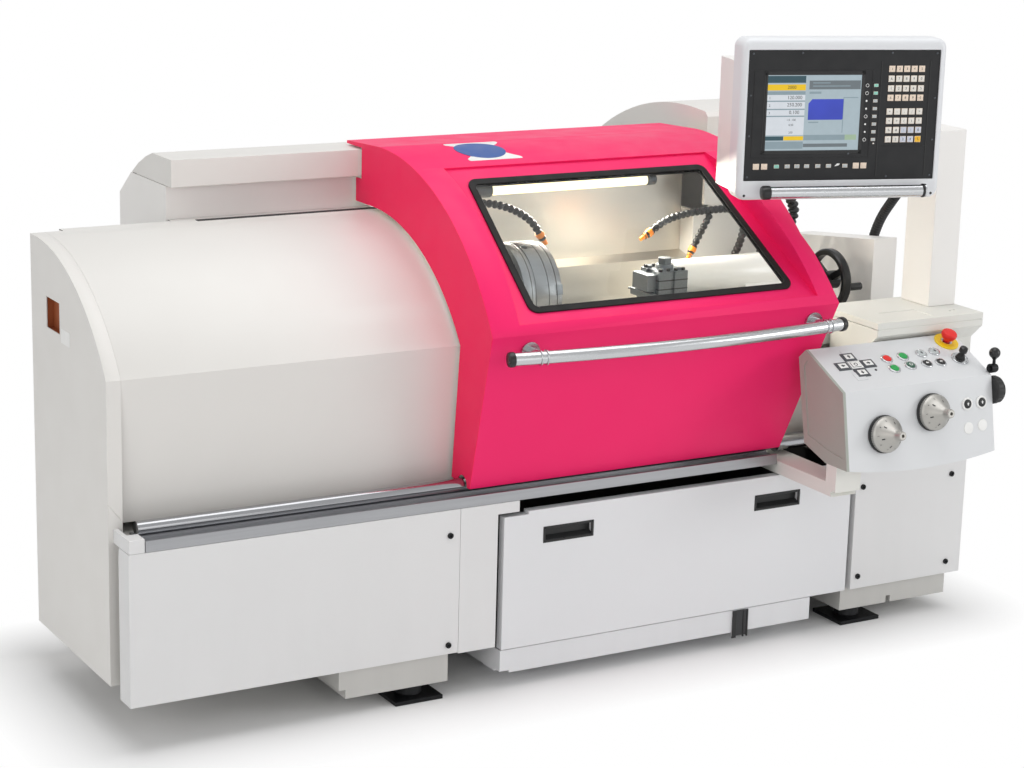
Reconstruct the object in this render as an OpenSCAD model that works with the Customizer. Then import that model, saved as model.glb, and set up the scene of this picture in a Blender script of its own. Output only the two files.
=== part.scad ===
/* [Machine] */
// Overall length of the machine, along X
machine_length = 2320; // [2310:5:2340]
// Distance from the origin to the front panels
panel_front = 360; // [356:1:364]
// Thickness of the painted sheet covers
sheet = 3; // [2:0.5:4]
// Thickness of the sliding hood
hood_wall = 4; // [3:0.5:5]
// Running clearance between a shaft and its hole, on the radius
fit = 0.05; // [0.02:0.01:0.09]

/* [Spindle and chuck] */
// Height of the spindle axis above the floor
axis_z = 880; // [872:1:886]
// Place of the spindle axis, front to back
axis_y = -20; // [-24:1:-16]
// Diameter of the three-jaw chuck
chuck_d = 250; // [240:1:256]
// Diameter of the bar passage through the spindle
spindle_bore_d = 52; // [40:1:56]
// Effective diameter of the spindle pulley
spindle_pulley_d = 190; // [180:1:200]
// Effective diameter of the motor pulley
motor_pulley_d = 120; // [110:1:130]

/* [Carriage and tailstock] */
// Width of the square tool post
post_side = 84; // [80:1:86]
// Diameter of the tailstock quill
quill_d = 54; // [50:1:58]
// Diameter of the tailstock barrel
barrel_d = 92; // [88:1:94]
// Diameter of the tailstock handwheel
tail_wheel_d = 165; // [150:1:170]

/* [Hood] */
// Left edge of the closed hood
hood_left = -307; // [-309:1:-305]
// Radius of the hood's curved front
hood_r = 650; // [648:1:652]
// Diameter of the hood's handle tube
handle_d = 30; // [26:1:32]
// Diameter of the rail under the hood
rail_d = 32; // [30:1:34]

/* [Console and display] */
// Height of the operator panel on the display
panel_h = 310; // [304:1:312]
// Width of the operator panel on the display
panel_w = 482; // [476:1:484]
// Turn of the display towards the left, in degrees
display_turn = -16; // [-18:1:-14]
// Diameter of the push buttons
button_d = 22; // [20:0.5:23]
// Largest diameter of the console handwheels
crank_d = 88; // [80:1:90]

/* [Hidden] */
$fn = 64;

half_length = machine_length / 2;

// Base
panel_x = [10 - half_length, half_length - 1];
pedestal_x = [42 - half_length, half_length - 10];
pedestal_wall = 20;
foot_h = 40;
left_foot_z = 114;
right_foot_z = 100;
base_top = 486;
bed_foot_z = 500;
ways_z = 700;
way_h = 24;
foot_x = [-433, 852];
foot_y = [-285, 440];

// Covers, as profiles in the YZ plane
cover_c = [181, 531];
cover_r = 535;
cover_crease = [-265, 826];
cover_foot = [-235, 498];
cover_back = 213;
cap_left = -half_length;
cover_left = cap_left + 34;
cap_foot = 135;
cover_right = -258;
lid_front = 252;
lid_top = 1208;
lid_foot = 1142;
box_front = 286;
box_left = -801;
box_right = -262;
arch_c = [295, 482];
arch_r = 790;
arch_window_r = 715;

// Hood: an arc about hood_c from its top down to the crease, then a flat to the foot
hood_top = 1228;
hood_roof_y = 150;
hood_roof_drop = 8;
hood_c = [hood_roof_y, hood_top - hood_r];
function hood_at(z, g) = [hood_c[0] - sqrt(pow(hood_r + g, 2) - pow(z - hood_c[1], 2)), z];
hood_crease = hood_at(878, 0);
hood_foot = [-336, 501];
hood_back = 327;
hood_right = 661;
wrap_gap = 12;
// the window lies on a chord just under the arc
chord_inset = 5;
chord_foot = hood_at(895, -chord_inset);
chord_head = hood_at(1196, -chord_inset);
chord_length = norm(chord_head - chord_foot);
chord_angle = atan2(chord_head[1] - chord_foot[1], chord_head[0] - chord_foot[0]);
window_top = chord_length - 38;
window_in = [[-186, 32], [554, 32], [486, window_top], [-186, window_top]];
recess_in = [[-231, 0], [603, 0], [512, chord_length], [-231, chord_length]];
recess_depth = 80;
handle_reach = 43;

// Rail
rail_y = -300;
rail_z = 503;
rail_left = 48 - half_length;
rail_right = 580;

// Drive
spindle_left = -625;
nose_x = -60;
chuck_x = [-60, 45];
pulley_x = [-600, -540];
motor_z = 612;
pitch_gap = 0.4;
belt_t = 9;

// Jaws
jaw_angles = [168, 48, 288];
jaw_w = 26;
jaw_slot_depth = 20;
jaw_inner = 34;
jaw_outer = 108;

// Carriage
saddle_x = [262, 430];
post_c = [345, -128];
post_z = [868, 932];

// Tailstock
barrel_x = [428, 850];
wheel_x = 925;
wheel_z = axis_z - 44;

// Console, as a profile in the YZ plane
console_x = [550, 1005];
console_top_rear = [-450, 776];
console_crease = [-604, 704];
console_foot = [-640.2, 501];
console_wall = 5;
console_top_angle = 25.06;
console_front_angle = 79.88;
bow_r = 1447;
bow_z = console_foot[1] + bow_r;

// Console controls: place across, and distance along the face from the crease
red_at = [750, 102];
green_1_at = [748, 64];
green_2_at = [801, 104];
dark_at = [800, 68];
symbol_at = [[860, 107], [851, 68], [902, 109], [893, 67]];
estop_at = [962, 140];
joystick_at = [957, 72];
handwheel_at = [[663, 596], [812, 633]];
ring_at = [[924, 641], [969, 641]];
blank_at = [[926, 582], [970, 585]];
lever_at = [1005, -596, 718];
knob_at = [1005, -600, 664];
joystick_ball_r = 13;
joystick_pin_r = 2.5;
joystick_pin_end = 18;

// Column and display
column_x = [1008, 1094];
column_y = [-345, -235];
column_top = 1272;
display_c = [626, -442, 1340];
display_w = 516;
display_z = [-202, 182];
display_depth = 60;
housing_z = [-187, 123];
housing_depth = 172;
pivot = [955, -300];
pivot_r = 20;
pin_r = 8;
pivot_z = 1200;

// Routes of the hoses
conduit_route = [[1051, -235, 1150], [1051, -206, 1150], [1066, -154, 1108], [1084, -84, 1052],
    [1106, -8, 984], [1124, 44, 910], [1132, 66, 830], [1132, 68, 760], [1132, 68, 700]];
riser_route = [[748, 188, 700], [748, 188, 770], [748, 168, 850], [748, 122, 930], [742, 106, 990],
    [700, 103, 1018], [640, 101, 1022], [560, 99, 1018], [490, 96, 1003], [425, 92, 968]];
branch_route = [[632, 101, 1011], [622, 100, 994], [594, 97, 950], [568, 94, 908]];
supply_route = [[760, 180, 1120], [760, 158, 1120], [812, 130, 1102], [874, 114, 1060],
    [908, 112, 1005], [894, 122, 950], [850, 150, 895], [812, 186, 830], [800, 192, 770],
    [800, 192, 700]];
chuck_hose_route = [[-258, 150, 1046], [-234, 150, 1046], [-150, 142, 1072], [-45, 116, 1080], [30, 104, 1065],
    [90, 98, 1030], [128, 96, 980]];

// Solids between two places on each axis
module box(x, y, z) {
    translate([x[0], y[0], z[0]]) cube([x[1] - x[0], y[1] - y[0], z[1] - z[0]]);
}

module rod_x(x, y, z, r) {
    translate([x[0], y, z]) rotate([0, 90, 0]) cylinder(r = r, h = x[1] - x[0]);
}

module rod_y(x, y, z, r) {
    translate([x, y[1], z]) rotate([90, 0, 0]) cylinder(r = r, h = y[1] - y[0]);
}

module rod_z(x, y, z, r) {
    translate([x, y, z[0]]) cylinder(r = r, h = z[1] - z[0]);
}

// A YZ profile run along X
module along_x(x) {
    translate([x[0], 0, 0]) rotate([90, 0, 90]) linear_extrude(x[1] - x[0]) children();
}

// An XZ profile run along Y
module along_y(y) {
    translate([0, y[1], 0]) rotate([90, 0, 0]) linear_extrude(y[1] - y[0]) children();
}

module rect(x, y) {
    translate([x[0], y[0]]) square([x[1] - x[0], y[1] - y[0]]);
}

module rounded_rect(x, y, r) {
    rect([x[0] + r, x[1] - r], y);
    rect(x, [y[0] + r, y[1] - r]);
    for (i = [0, 1], j = [0, 1]) {
        translate([x[i] + (i == 0 ? r : -r), y[j] + (j == 0 ? r : -r)]) circle(r = r);
    }
}

// Outline of a convex polygon, listed anticlockwise, with round corners and grown by g
function unit(v) = v / norm(v);
function normal_of(a, b) = unit([b[1] - a[1], a[0] - b[0]]);
function before(p, i) = p[(i + len(p) - 1) % len(p)];
function after(p, i) = p[(i + 1) % len(p)];
function corner(p, i, d) = let(n = normal_of(before(p, i), p[i]), m = normal_of(p[i], after(p, i)))
    p[i] + d * (n + m) / (1 + n * m);
module rounded_polygon(p, r, g) {
    for (i = [0 : len(p) - 1]) translate(corner(p, i, g - r)) circle(r = r);
    polygon([for (i = [0 : len(p) - 1], s = [0, 1]) corner(p, i, g - r)
        + r * (s == 0 ? normal_of(before(p, i), p[i]) : normal_of(p[i], after(p, i)))]);
}

// A round tube swept through the points of a route, which nowhere runs along the direction across
function way_at(p, i) = unit(p[min(i + 1, len(p) - 1)] - p[max(i - 1, 0)]);
function ring(p, i, r, n, across) = let(t = way_at(p, i), s = unit(cross(t, across)), u = cross(t, s))
    [for (k = [0 : n - 1]) p[i] + r * (cos(360 * k / n) * s + sin(360 * k / n) * u)];
module swept_tube(p, r, n, across) {
    points = [for (i = [0 : len(p) - 1]) each ring(p, i, r, n, across)];
    last = (len(p) - 1) * n;
    sides = [for (i = [0 : len(p) - 2], k = [0 : n - 1], half = [0, 1]) half == 0
        ? [i * n + k, i * n + (k + 1) % n, (i + 1) * n + (k + 1) % n]
        : [i * n + k, (i + 1) * n + (k + 1) % n, (i + 1) * n + k]];
    polyhedron(points, concat([[for (k = [0 : n - 1]) n - 1 - k]], sides,
        [[for (k = [0 : n - 1]) last + k]]));
}

// ---- Base ----

module machine_bed() {
    color("#d9d9d6") {
        // front beam, rear beam and the two cross ends of the bed
        box([-246, 1010], [-262, -130], [bed_foot_z, ways_z]);
        box([-246, 1010], [70, 225], [bed_foot_z, ways_z]);
        box([-246, -100], [-262, 225], [bed_foot_z, ways_z]);
        box([790, pedestal_x[1]], [-262, 225], [bed_foot_z, ways_z]);
        // the two ways and the block under the headstock
        for (y = [[-200, -145], [85, 140]]) box([-100, 1010], y, [ways_z, ways_z + way_h]);
        box([-480, -246], [-200, cover_back - sheet], [base_top - 12, ways_z]);
    }
}

module machine_stand() {
    color("#d9d9d6") difference() {
        union() {
            // left pedestal and the ledge for the rear box
            box([pedestal_x[0], -246], [-296, cover_back], [left_foot_z, base_top - 12]);
            box([box_left, -246], [cover_back, 590], [left_foot_z, 160]);
            // right pedestal with its top, and the rear block
            box([800, pedestal_x[1]], [-296, 225], [right_foot_z, base_top - 21]);
            box([790, pedestal_x[1]], [-262, 225], [base_top - 22, bed_foot_z]);
            box([-246, pedestal_x[1]], [225, 600], [left_foot_z, ways_z - 10]);
            // plinths under the two pedestals
            box([-639, -357], [-340, 500], [foot_h, left_foot_z + 0.5]);
            box([787, pedestal_x[1] - 21], [-340, 500], [foot_h, right_foot_z + 0.5]);
            box([787, pedestal_x[1] - 21], [225, 500], [foot_h, left_foot_z + 0.5]);
            // ledges that carry the chip drawer
            box([-247, -222], [-296, 226], [426, 432]);
            box([782, 801], [-296, 226], [426, 432]);
        }
        // hollows of the pedestals and of the rear block
        box([pedestal_x[0] + pedestal_wall, -500], [-280, 190], [138, 456]);
        box([820, pedestal_x[1] - pedestal_wall], [-280, 205], [138, 444]);
        box([-220, pedestal_x[1] - pedestal_wall], [250, 580], [138, 670]);
        // notches in the plinths
        box([-640, -622], [-341, 501], [foot_h - 1, 62]);
        box([937, 951], [-341, 501], [foot_h - 1, 58]);
        for (x = foot_x, y = foot_y) rod_z(x, y, [foot_h - 1, 90], 12 + fit);
        for (p = bolt_places()) rod_y(p[0], [-300, -286], p[1], 4 + fit);
    }
}

function bolt_places() = [[-368, 404], [-368, 137], [823, 373], [panel_x[1] - 48, 373], [823, 134],
    [panel_x[1] - 48, 134]];

module levelling_feet() {
    color("#26272a") for (x = foot_x, y = foot_y) {
        box([x - 62, x + 62], [y - 60, y + 60], [0, 10]);
        rod_z(x, y, [10, 32], 33);
        rod_z(x, y, [32, 84], 12);
    }
}

module coolant_tank() {
    color("#dadbdb") difference() {
        union() {
            box([-226, 678], [-356, 190], [foot_h, 98]);
            for (x = [-150, 600], y = [-200, 120]) rod_z(x, y, [0, foot_h + 1], 28);
        }
        box([-222, 674], [-352, 186], [foot_h + 4, 99]);
        box([-268, -200], [-357, -330], [foot_h - 1, 46]);
    }
    color("#1c1d1f") difference() {
        box([438, 485], [-359.5, -356], [30, 106 - 9]);
        box([452, 471], [-360, -358], [29, 98]);
    }
}

// ---- Left covers ----

module cover_profile(g) {
    // g grows the outline outwards
    intersection() {
        translate(cover_c) circle(r = cover_r + g, $fn = 200);
        polygon([[cover_foot[0] - g, 100], [cover_foot[0] - g, cover_foot[1]],
            [cover_crease[0] - g, cover_crease[1]], [cover_crease[0] - g, 1200],
            [cover_c[0], 1200], [cover_c[0], 100]]);
    }
    rect([cover_c[0] - 1, cover_back + g], [100, cover_c[1] + cover_r + g]);
}

module cap_profile(g) {
    intersection() {
        translate(cover_c) circle(r = cover_r + g, $fn = 200);
        rect([cover_crease[0] - g, cover_c[0]], [cover_c[1], 1200]);
    }
    rect([cover_crease[0] - g, cover_back + g], [cap_foot - g, cover_c[1] + 1]);
    rect([cover_c[0] - 1, cover_back + g], [cover_c[1], cover_c[1] + cover_r + g]);
}

module left_end_cap() {
    color("#c9beb4") difference() {
        along_x([cap_left, cover_left]) cap_profile(0);
        along_x([cap_left + sheet, cover_left + 1]) cap_profile(-sheet);
        box([cap_left - 1, cap_left + 9], [24, 111], [869, 940]);
        // slanting seam across the front of the rim
        translate([cap_left, cover_crease[0], 553]) rotate([0, 52, 0]) box([-4, 62], [-1, 1.4], [-1, 1]);
    }
}

module headstock_cover() {
    color("#e6e4e0") difference() {
        along_x([cover_left, cover_right]) intersection() {
            cover_profile(0);
            rect([-400, 400], [cover_foot[1], 1200]);
        }
        along_x([cover_left - 1, cover_right - sheet]) cover_profile(-sheet);
        // opening for the headstock in the right-hand wall
        along_x([cover_right - 10, cover_right + 1]) headstock_profile(2);
        box([cover_right - 10, cover_right + 1], [-202, cover_back - sheet], [490, ways_z + 2]);
    }
}

module left_front_panel() {
    color("#dcdcdb") difference() {
        intersection() {
            box([panel_x[0], -342], [-panel_front, -299], [115, 465]);
            along_x([panel_x[0], -342]) polygon([[-panel_front, 115], [-panel_front, 465], [-302, 465],
                [-250, 115]]);
        }
        box([panel_x[0] + sheet, -342 - sheet], [-panel_front + sheet, -290], [115 + sheet, 465 - sheet]);
        for (p = bolt_places()) rod_y(p[0], [-362, -350], p[1], 4.2);
    }
}

module narrow_front_panel() {
    color("#dddddc") difference() {
        union() {
            box([-341, -242], [-panel_front, -296], [112, 465]);
            box([-242, -185], [-panel_front, -panel_front + 18], [438, 465]);
        }
        box([-341 + sheet, -242 - sheet], [-panel_front + sheet, -295], [112 + sheet, 465 - sheet]);
        box([-242 - sheet, -186], [-panel_front + sheet, -340], [437, 465 - sheet]);
    }
}

module right_front_panel() {
    color("#dddedf") difference() {
        box([802, panel_x[1]], [-panel_front, -299], [101, 465]);
        box([802 + sheet, panel_x[1] - sheet], [-panel_front + sheet, -298], [101 + sheet, 465 - sheet]);
        for (p = bolt_places()) rod_y(p[0], [-362, -350], p[1], 4.2);
    }
}

module panel_bolts() {
    color("#17181a") for (p = bolt_places()) difference() {
        union() {
            rod_y(p[0], [-panel_front - 4, -panel_front], p[1], 7);
            rod_y(p[0], [-panel_front, -287], p[1], 4);
        }
        translate([p[0], -panel_front - 1, p[1]]) rotate([90, 0, 0]) cylinder(r = 3.2, h = 5, $fn = 6);
    }
}

// ---- Rear covers ----

module rear_box() {
    color("#dcdad6") {
        difference() {
            along_x([box_left, box_right]) polygon([[box_front, 160], [box_front, lid_foot - 1.5],
                [513, lid_foot - 1.5], [592, 1080], [592, 160]]);
            along_x([box_left + sheet, box_right - sheet]) polygon([[box_front + sheet, 163],
                [box_front + sheet, 1200], [506, 1200], [506, 1142], [589, 1078.5], [589, 163]]);
        }
        // rim that locates the lid
        difference() {
            box([box_left + sheet, box_right - sheet], [box_front, 484], [lid_foot - 12, lid_foot + 10]);
            box([box_left + 2 * sheet, box_right - 2 * sheet], [box_front + sheet, 481],
                [lid_foot - 13, lid_foot + 11]);
        }
    }
}

module rear_box_lid() {
    color("#e4e2de") difference() {
        along_x([box_left, box_right]) polygon([[lid_front, lid_foot], [lid_front, lid_top],
            [372, lid_top], [415, 1194], [464, 1171], [510, lid_foot]]);
        along_x([box_left + sheet, box_right - sheet]) polygon([[lid_front + sheet, lid_foot - 1],
            [lid_front + sheet, lid_top - sheet], [371.5, lid_top - sheet], [414, 1191.2],
            [462.4, 1168.4], [504.5, lid_foot - 1]]);
    }
}

module splash_back() {
    color("#c4c5c6") along_x([-250, 664]) polygon([[288, 1187], [318, 1187], [318, 1190], [285, 1190],
        [285, 884], [240, 872], [240, ways_z - 10], [243, ways_z - 10], [243, 869], [288, 881]]);
}

module right_end_box() {
    color("#d5d2cc") difference() {
        along_x([1025, 1100]) polygon([[-90, ways_z], [-90, 950], [280, 903], [280, ways_z]]);
        along_x([1025 + sheet, 1100 - sheet]) polygon([[-87, ways_z - 1], [-87, 946.6],
            [277, 900.4], [277, ways_z - 1]]);
    }
}

// The top is a shallow arch between the front and the rear wall
function arch_at(y, g) = [y, arch_c[1] + sqrt(pow(arch_r + g, 2) - pow(y - arch_c[0], 2))];
module arch_profile(g) {
    steps = 32;
    ends = [192 - g, 705 + g];
    arc = [for (i = [0 : steps]) arch_at(ends[0] + (ends[1] - ends[0]) * i / steps, g)];
    polygon(concat([[226 - g, 691], [226 - g, 1020 - g], [180 - g, 1020 - g], [180 - g, 1253 + g]],
        arc, [[705 + g, 780 - g], [598 + g, 780 - g], [598 + g, 691]]));
}

module right_arch_cover() {
    color("#e3e1dd") difference() {
        along_x([665, 900]) arch_profile(0);
        along_x([665 + sheet, 900 - sheet]) arch_profile(-sheet);
        // arched window in the left wall
        along_x([660, 700]) intersection() {
            translate(arch_c) circle(r = arch_window_r, $fn = 200);
            rect([190, 475], [1000, 1300]);
        }
    }
}

// ---- Rail ----

module rail_strip() {
    color("#a9abae") difference() {
        along_x([rail_left + 1, 548]) polygon([[-360, 466], [-355, 466], [-355, 480], [-264, 480],
            [-264, 485], [-284, 485], [-284, 490], [-316, 490], [-316, 485], [-354, 485],
            [-354, 491], [-360, 491]]);
        rod_x([rail_left - 5, 700], rail_y, rail_z, rail_d / 2 + fit);
    }
}

module rail_bracket() {
    color("#e2dfd9") difference() {
        union() {
            box([panel_x[0] + 1, rail_left], [-panel_front, rail_y - rail_d / 2 - 2], [465, 497]);
            box([panel_x[0] + 1, panel_x[0] + 13], [-320, cover_crease[0]], [465, 497]);
        }
    }
}

module guide_rail() {
    color("#8f9296") {
        rod_x([rail_left + 2, rail_right], rail_y, rail_z, rail_d / 2);
        rod_x([rail_right, rail_right + 12], rail_y, rail_z, 23.5);
        rod_x([rail_right + 12, 756], rail_y, rail_z, 20);
    }
    color("#8f9296") box([700, 740], [rail_y, -262], [rail_z - 10, rail_z + 10]);
}

// ---- Drive ----

module headstock_profile(g) {
    polygon([[-150 - g, ways_z], [-150 - g, 920 + g], [-80 - g, 976 + g], [60 + g, 976 + g],
        [120 + g, 930 + g], [120 + g, ways_z]]);
}

module headstock() {
    color("#9aa09a") difference() {
        union() {
            along_x([-460, -112]) headstock_profile(0);
            rod_x([-112, -98], axis_y, axis_z, 90);
        }
        // bearing seats at both ends and the clear bore between them
        rod_x([-470, -380], axis_y, axis_z, 60 + fit);
        rod_x([-170, -90], axis_y, axis_z, 70 + fit);
        rod_x([-400, -160], axis_y, axis_z, 52);
    }
}

module spindle() {
    color("#b9bcc0") difference() {
        union() {
            rod_x([spindle_left, -460], axis_y, axis_z, 38);
            rod_x([-460, -382], axis_y, axis_z, 60);
            rod_x([-382, -168], axis_y, axis_z, 46);
            rod_x([-168, -98], axis_y, axis_z, 70);
            rod_x([-98, nose_x], axis_y, axis_z, 75);
            rod_x(pulley_x, axis_y, axis_z, spindle_pulley_d / 2);
            for (x = pulley_x) rod_x([x - 3, x + 3], axis_y, axis_z, spindle_pulley_d / 2 + 7);
        }
        rod_x([spindle_left - 1, nose_x + 1], axis_y, axis_z, spindle_bore_d / 2);
    }
}

module chuck_body() {
    color("#b4b7ba") difference() {
        union() {
            rod_x([chuck_x[0], chuck_x[1] - 14], axis_y, axis_z, chuck_d / 2);
            rod_x([chuck_x[1] - 14, chuck_x[1]], axis_y, axis_z, chuck_d / 2 - 4);
        }
        rod_x([chuck_x[0] - 1, chuck_x[1] + 1], axis_y, axis_z, 30);
        rod_tube([chuck_x[0] + 26, chuck_x[0] + 32], chuck_d / 2 + 1, chuck_d / 2 - 2);
        for (a = jaw_angles) in_chuck(a) {
            box([chuck_x[1] - jaw_slot_depth, chuck_x[1] + 1], [20, chuck_d],
                [-jaw_w / 2 - 0.25, jaw_w / 2 + 0.25]);
        }
        for (a = jaw_angles) in_chuck(a + 60) {
            translate([-18, chuck_d / 2 - 24, 0]) rotate([-90, 0, 0]) rotate([0, 0, 40]) cylinder(r = 8, h = 40);
        }
    }
}

module rod_tube(x, r_out, r_in) {
    difference() {
        rod_x(x, axis_y, axis_z, r_out);
        rod_x([x[0] - 1, x[1] + 1], axis_y, axis_z, r_in);
    }
}

// Turns +Y to the given angle about the spindle axis
module in_chuck(a) {
    translate([0, axis_y, axis_z]) rotate([a, 0, 0]) children();
}

module jaw(i) {
    color("#a5a8ab") in_chuck(jaw_angles[i]) {
        x = chuck_x[1];
        box([x - jaw_slot_depth + 0.3, x + 9], [jaw_inner, jaw_outer], [-jaw_w / 2, jaw_w / 2]);
        box([x + 9, x + 20], [jaw_inner, 92], [-jaw_w / 2, jaw_w / 2]);
        box([x + 20, x + 31], [jaw_inner, 62], [-jaw_w / 2, jaw_w / 2]);
    }
}

module jaw_1() { jaw(0); }
module jaw_2() { jaw(1); }
module jaw_3() { jaw(2); }

module main_motor() {
    color("#6d7478") difference() {
        union() {
            rod_x([-1010, -650], axis_y, motor_z, 108);
            box([-960, -690], [axis_y - 120, axis_y + 120], [base_top - 11.5, motor_z - 95]);
            box([-900, -760], [axis_y - 45, axis_y + 45], [motor_z + 90, motor_z + 150]);
        }
        for (a = [20 : 20 : 340]) translate([0, axis_y, motor_z]) rotate([a, 0, 0]) {
            box([-980, -700], [-3, 3], [100, 112]);
        }
        rod_x([-700, -640], axis_y, motor_z, 24 + fit);
    }
}

module motor_pulley() {
    color("#84888c") {
        rod_x([-699, pulley_x[0]], axis_y, motor_z, 24);
        rod_x(pulley_x, axis_y, motor_z, motor_pulley_d / 2);
        for (x = pulley_x) rod_x([x - 3, x + 3], axis_y, motor_z, motor_pulley_d / 2 + 7);
    }
}

module belt_loop(g) {
    hull() {
        translate([axis_y, axis_z]) circle(r = spindle_pulley_d / 2 + g, $fn = 96);
        translate([axis_y, motor_z]) circle(r = motor_pulley_d / 2 + g, $fn = 96);
    }
}

module drive_belt() {
    color("#1d1d1f") along_x([pulley_x[0] + 4, pulley_x[1] - 4]) difference() {
        belt_loop(pitch_gap + belt_t);
        belt_loop(pitch_gap);
    }
}

// ---- Carriage ----

module saddle() {
    color("#7d8286") difference() {
        box(saddle_x, [-236, 166], [ways_z + way_h + 0.3, 770]);
        box([saddle_x[0] - 1, saddle_x[1] + 1], [-110, 50], [ways_z, 748]);
    }
    color("#7d8286") for (y = [[-236, -201], [141, 166]]) box(saddle_x, y, [ways_z + 1, 740]);
}

module cross_slide() {
    color("#8b9093") {
        box([286, 404], [-222, 40], [770.3, 822]);
        box([298, 392], [post_c[1] - 50, post_c[1] + 50], [822, post_z[0] - 1]);
        rod_z(post_c[0], post_c[1], [post_z[0] - 1, 952], 12);
    }
}

module tool_post() {
    h = post_side / 2;
    color("#74787b") difference() {
        union() {
            box([post_c[0] - h, post_c[0] + h], [post_c[1] - h, post_c[1] + h], post_z);
            rod_z(post_c[0], post_c[1], [post_z[1], 944], 22);
            translate([post_c[0], post_c[1], 944]) cylinder(r = 18, h = 16, $fn = 6);
        }
        rod_z(post_c[0], post_c[1], [post_z[0] - 1, 952 + fit], 12 + fit);
        // dovetail on the left side and two slots in the front
        box([post_c[0] - h - 1, post_c[0] - h + 8], [post_c[1] - 16, post_c[1] + 16],
            [post_z[0] - 1, post_z[1] + 1]);
        box([post_c[0] - 6, post_c[0] + 4], [post_c[1] - h - 1, post_c[1] - h + 5],
            [post_z[0] - 1, post_z[1] + 1]);
    }
    color("#2b2c2e") for (x = [-26, 26], y = [-26, 26]) {
        rod_z(post_c[0] + x, post_c[1] + y, [post_z[1], post_z[1] + 6], 6);
    }
}

module tool_holder() {
    left = post_c[0] - post_side / 2;
    color("#6b6f72") {
        difference() {
            union() {
                box([left - 26, left], [post_c[1] - 30, post_c[1] + 38], [876, 924]);
                box([left, left + 7.8], [post_c[1] - 15.8, post_c[1] + 15.8], [876, 924]);
            }
            box([left - 27, left - 6], [post_c[1] - 31, post_c[1] + 39], [axis_z - 16, axis_z + 4]);
        }
        box([left - 22, left - 6], [post_c[1] - 44, post_c[1] + 52], [axis_z - 16, axis_z]);
    }
    color("#c9a23a") box([left - 26, left - 12], [post_c[1] + 52, post_c[1] + 57],
        [axis_z - 4, axis_z]);
}

// ---- Tailstock ----

module tailstock() {
    color("#e8e7e3") difference() {
        union() {
            rod_x(barrel_x, axis_y, axis_z, barrel_d / 2);
            along_x([640, 850]) polygon([[-100, ways_z + way_h + 46], [-100, 790], [-58, 860],
                [-58, axis_z], [18, axis_z], [18, 860], [70, 790], [70, ways_z + way_h + 46]]);
            box([625, 860], [-236, 166], [ways_z + way_h + 0.3, ways_z + way_h + 46]);
        }
        rod_x([barrel_x[0] - 1, barrel_x[1] - 20], axis_y, axis_z, quill_d / 2 + fit);
        rod_x([655, barrel_x[1] + 1], axis_y, wheel_z, 14 + fit);
        rod_z(800, axis_y, [axis_z + 20, axis_z + 60], 9 + fit);
    }
}

module quill() {
    color("#8a8d90") difference() {
        rod_x([394, 780], axis_y, axis_z, quill_d / 2);
        rod_x([393, 440], axis_y, axis_z, 13);
    }
    color("#9c9fa2") translate([360, axis_y, axis_z]) rotate([0, 90, 0]) {
        cylinder(r1 = 0.6, r2 = 12.9, h = 30);
        translate([0, 0, 30]) cylinder(r = 12.9, h = 48);
    }
}

module tailstock_handwheel() {
    color("#151617") translate([wheel_x, axis_y, wheel_z]) rotate([0, 90, 0]) {
        rotate_extrude($fn = 96) polygon([[tail_wheel_d / 2 - 16, 2], [tail_wheel_d / 2 - 4, 0],
            [tail_wheel_d / 2, 5], [tail_wheel_d / 2, 21], [tail_wheel_d / 2 - 4, 26],
            [tail_wheel_d / 2 - 16, 24]]);
    }
    color("#a9acb0") {
        rod_x([wheel_x - 10, wheel_x + 34], axis_y, wheel_z, 24);
        rod_x([wheel_x - 74.5, wheel_x - 10], axis_y, wheel_z, 32);
        rod_x([660, wheel_x - 10], axis_y, wheel_z, 14);
        for (a = [30, 150, 270]) translate([wheel_x, axis_y, wheel_z]) rotate([a, 0, 0]) {
            box([4, 20], [18, tail_wheel_d / 2 - 12], [-9, 9]);
        }
    }
    color("#a7a04e") translate([wheel_x, axis_y, wheel_z]) rotate([186, 0, 0]) {
        rod_x([20, 62], tail_wheel_d / 2 - 12, 0, 10);
    }
}

module clamp_lever() {
    color("#2a2b2d") {
        rod_z(800, axis_y, [axis_z + 21, axis_z + 62], 9);
        rod_z(800, axis_y, [axis_z + 47, axis_z + 62], 16);
        box([792, 808], [axis_y, axis_y + 66], [axis_z + 50, axis_z + 58]);
        translate([800, axis_y + 70, axis_z + 56]) sphere(r = 13);
    }
}

// ---- Hood ----

module hood_profile(g) {
    intersection() {
        translate(hood_c) circle(r = hood_r + g, $fn = 240);
        rect([-600, hood_roof_y], [hood_crease[1] - 1, 1400]);
    }
    // gently falling roof behind the curved front
    polygon([[hood_roof_y - 1, 700], [hood_roof_y - 1, hood_top + g], [hood_roof_y, hood_top + g],
        [hood_back, hood_top - hood_roof_drop + g], [hood_back, 700]]);
    polygon([[hood_foot[0] - g * 1.03, hood_foot[1]], [hood_crease[0] - g * 1.03, hood_crease[1]],
        [hood_back, hood_crease[1]], [hood_back, hood_foot[1]]]);
}

// What the hood must clear as it slides left: the headstock cover, the rear box lid and the rail
module hood_clearance() {
    intersection() {
        cover_profile(wrap_gap);
        rect([-400, 330], [400, 1400]);
    }
    rect([cover_c[0], hood_back + 1], [400, cover_c[1] + cover_r + wrap_gap]);
    rect([box_front - wrap_gap, hood_back + 1], [1000, 1150]);
    rect([lid_front - 8, hood_back + 1], [1136, lid_top + 5]);
    polygon([[-400, 400], [-400, 496], [-336, 496], [-336, 497], [-250, 508], [-200, 512], [-200, 400]]);
    translate([rail_y, rail_z]) circle(r = rail_d / 2 + 7);
    rect([rail_y - rail_d / 2 - 7, rail_y + rail_d / 2 + 7], [400, rail_z]);
}

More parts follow.
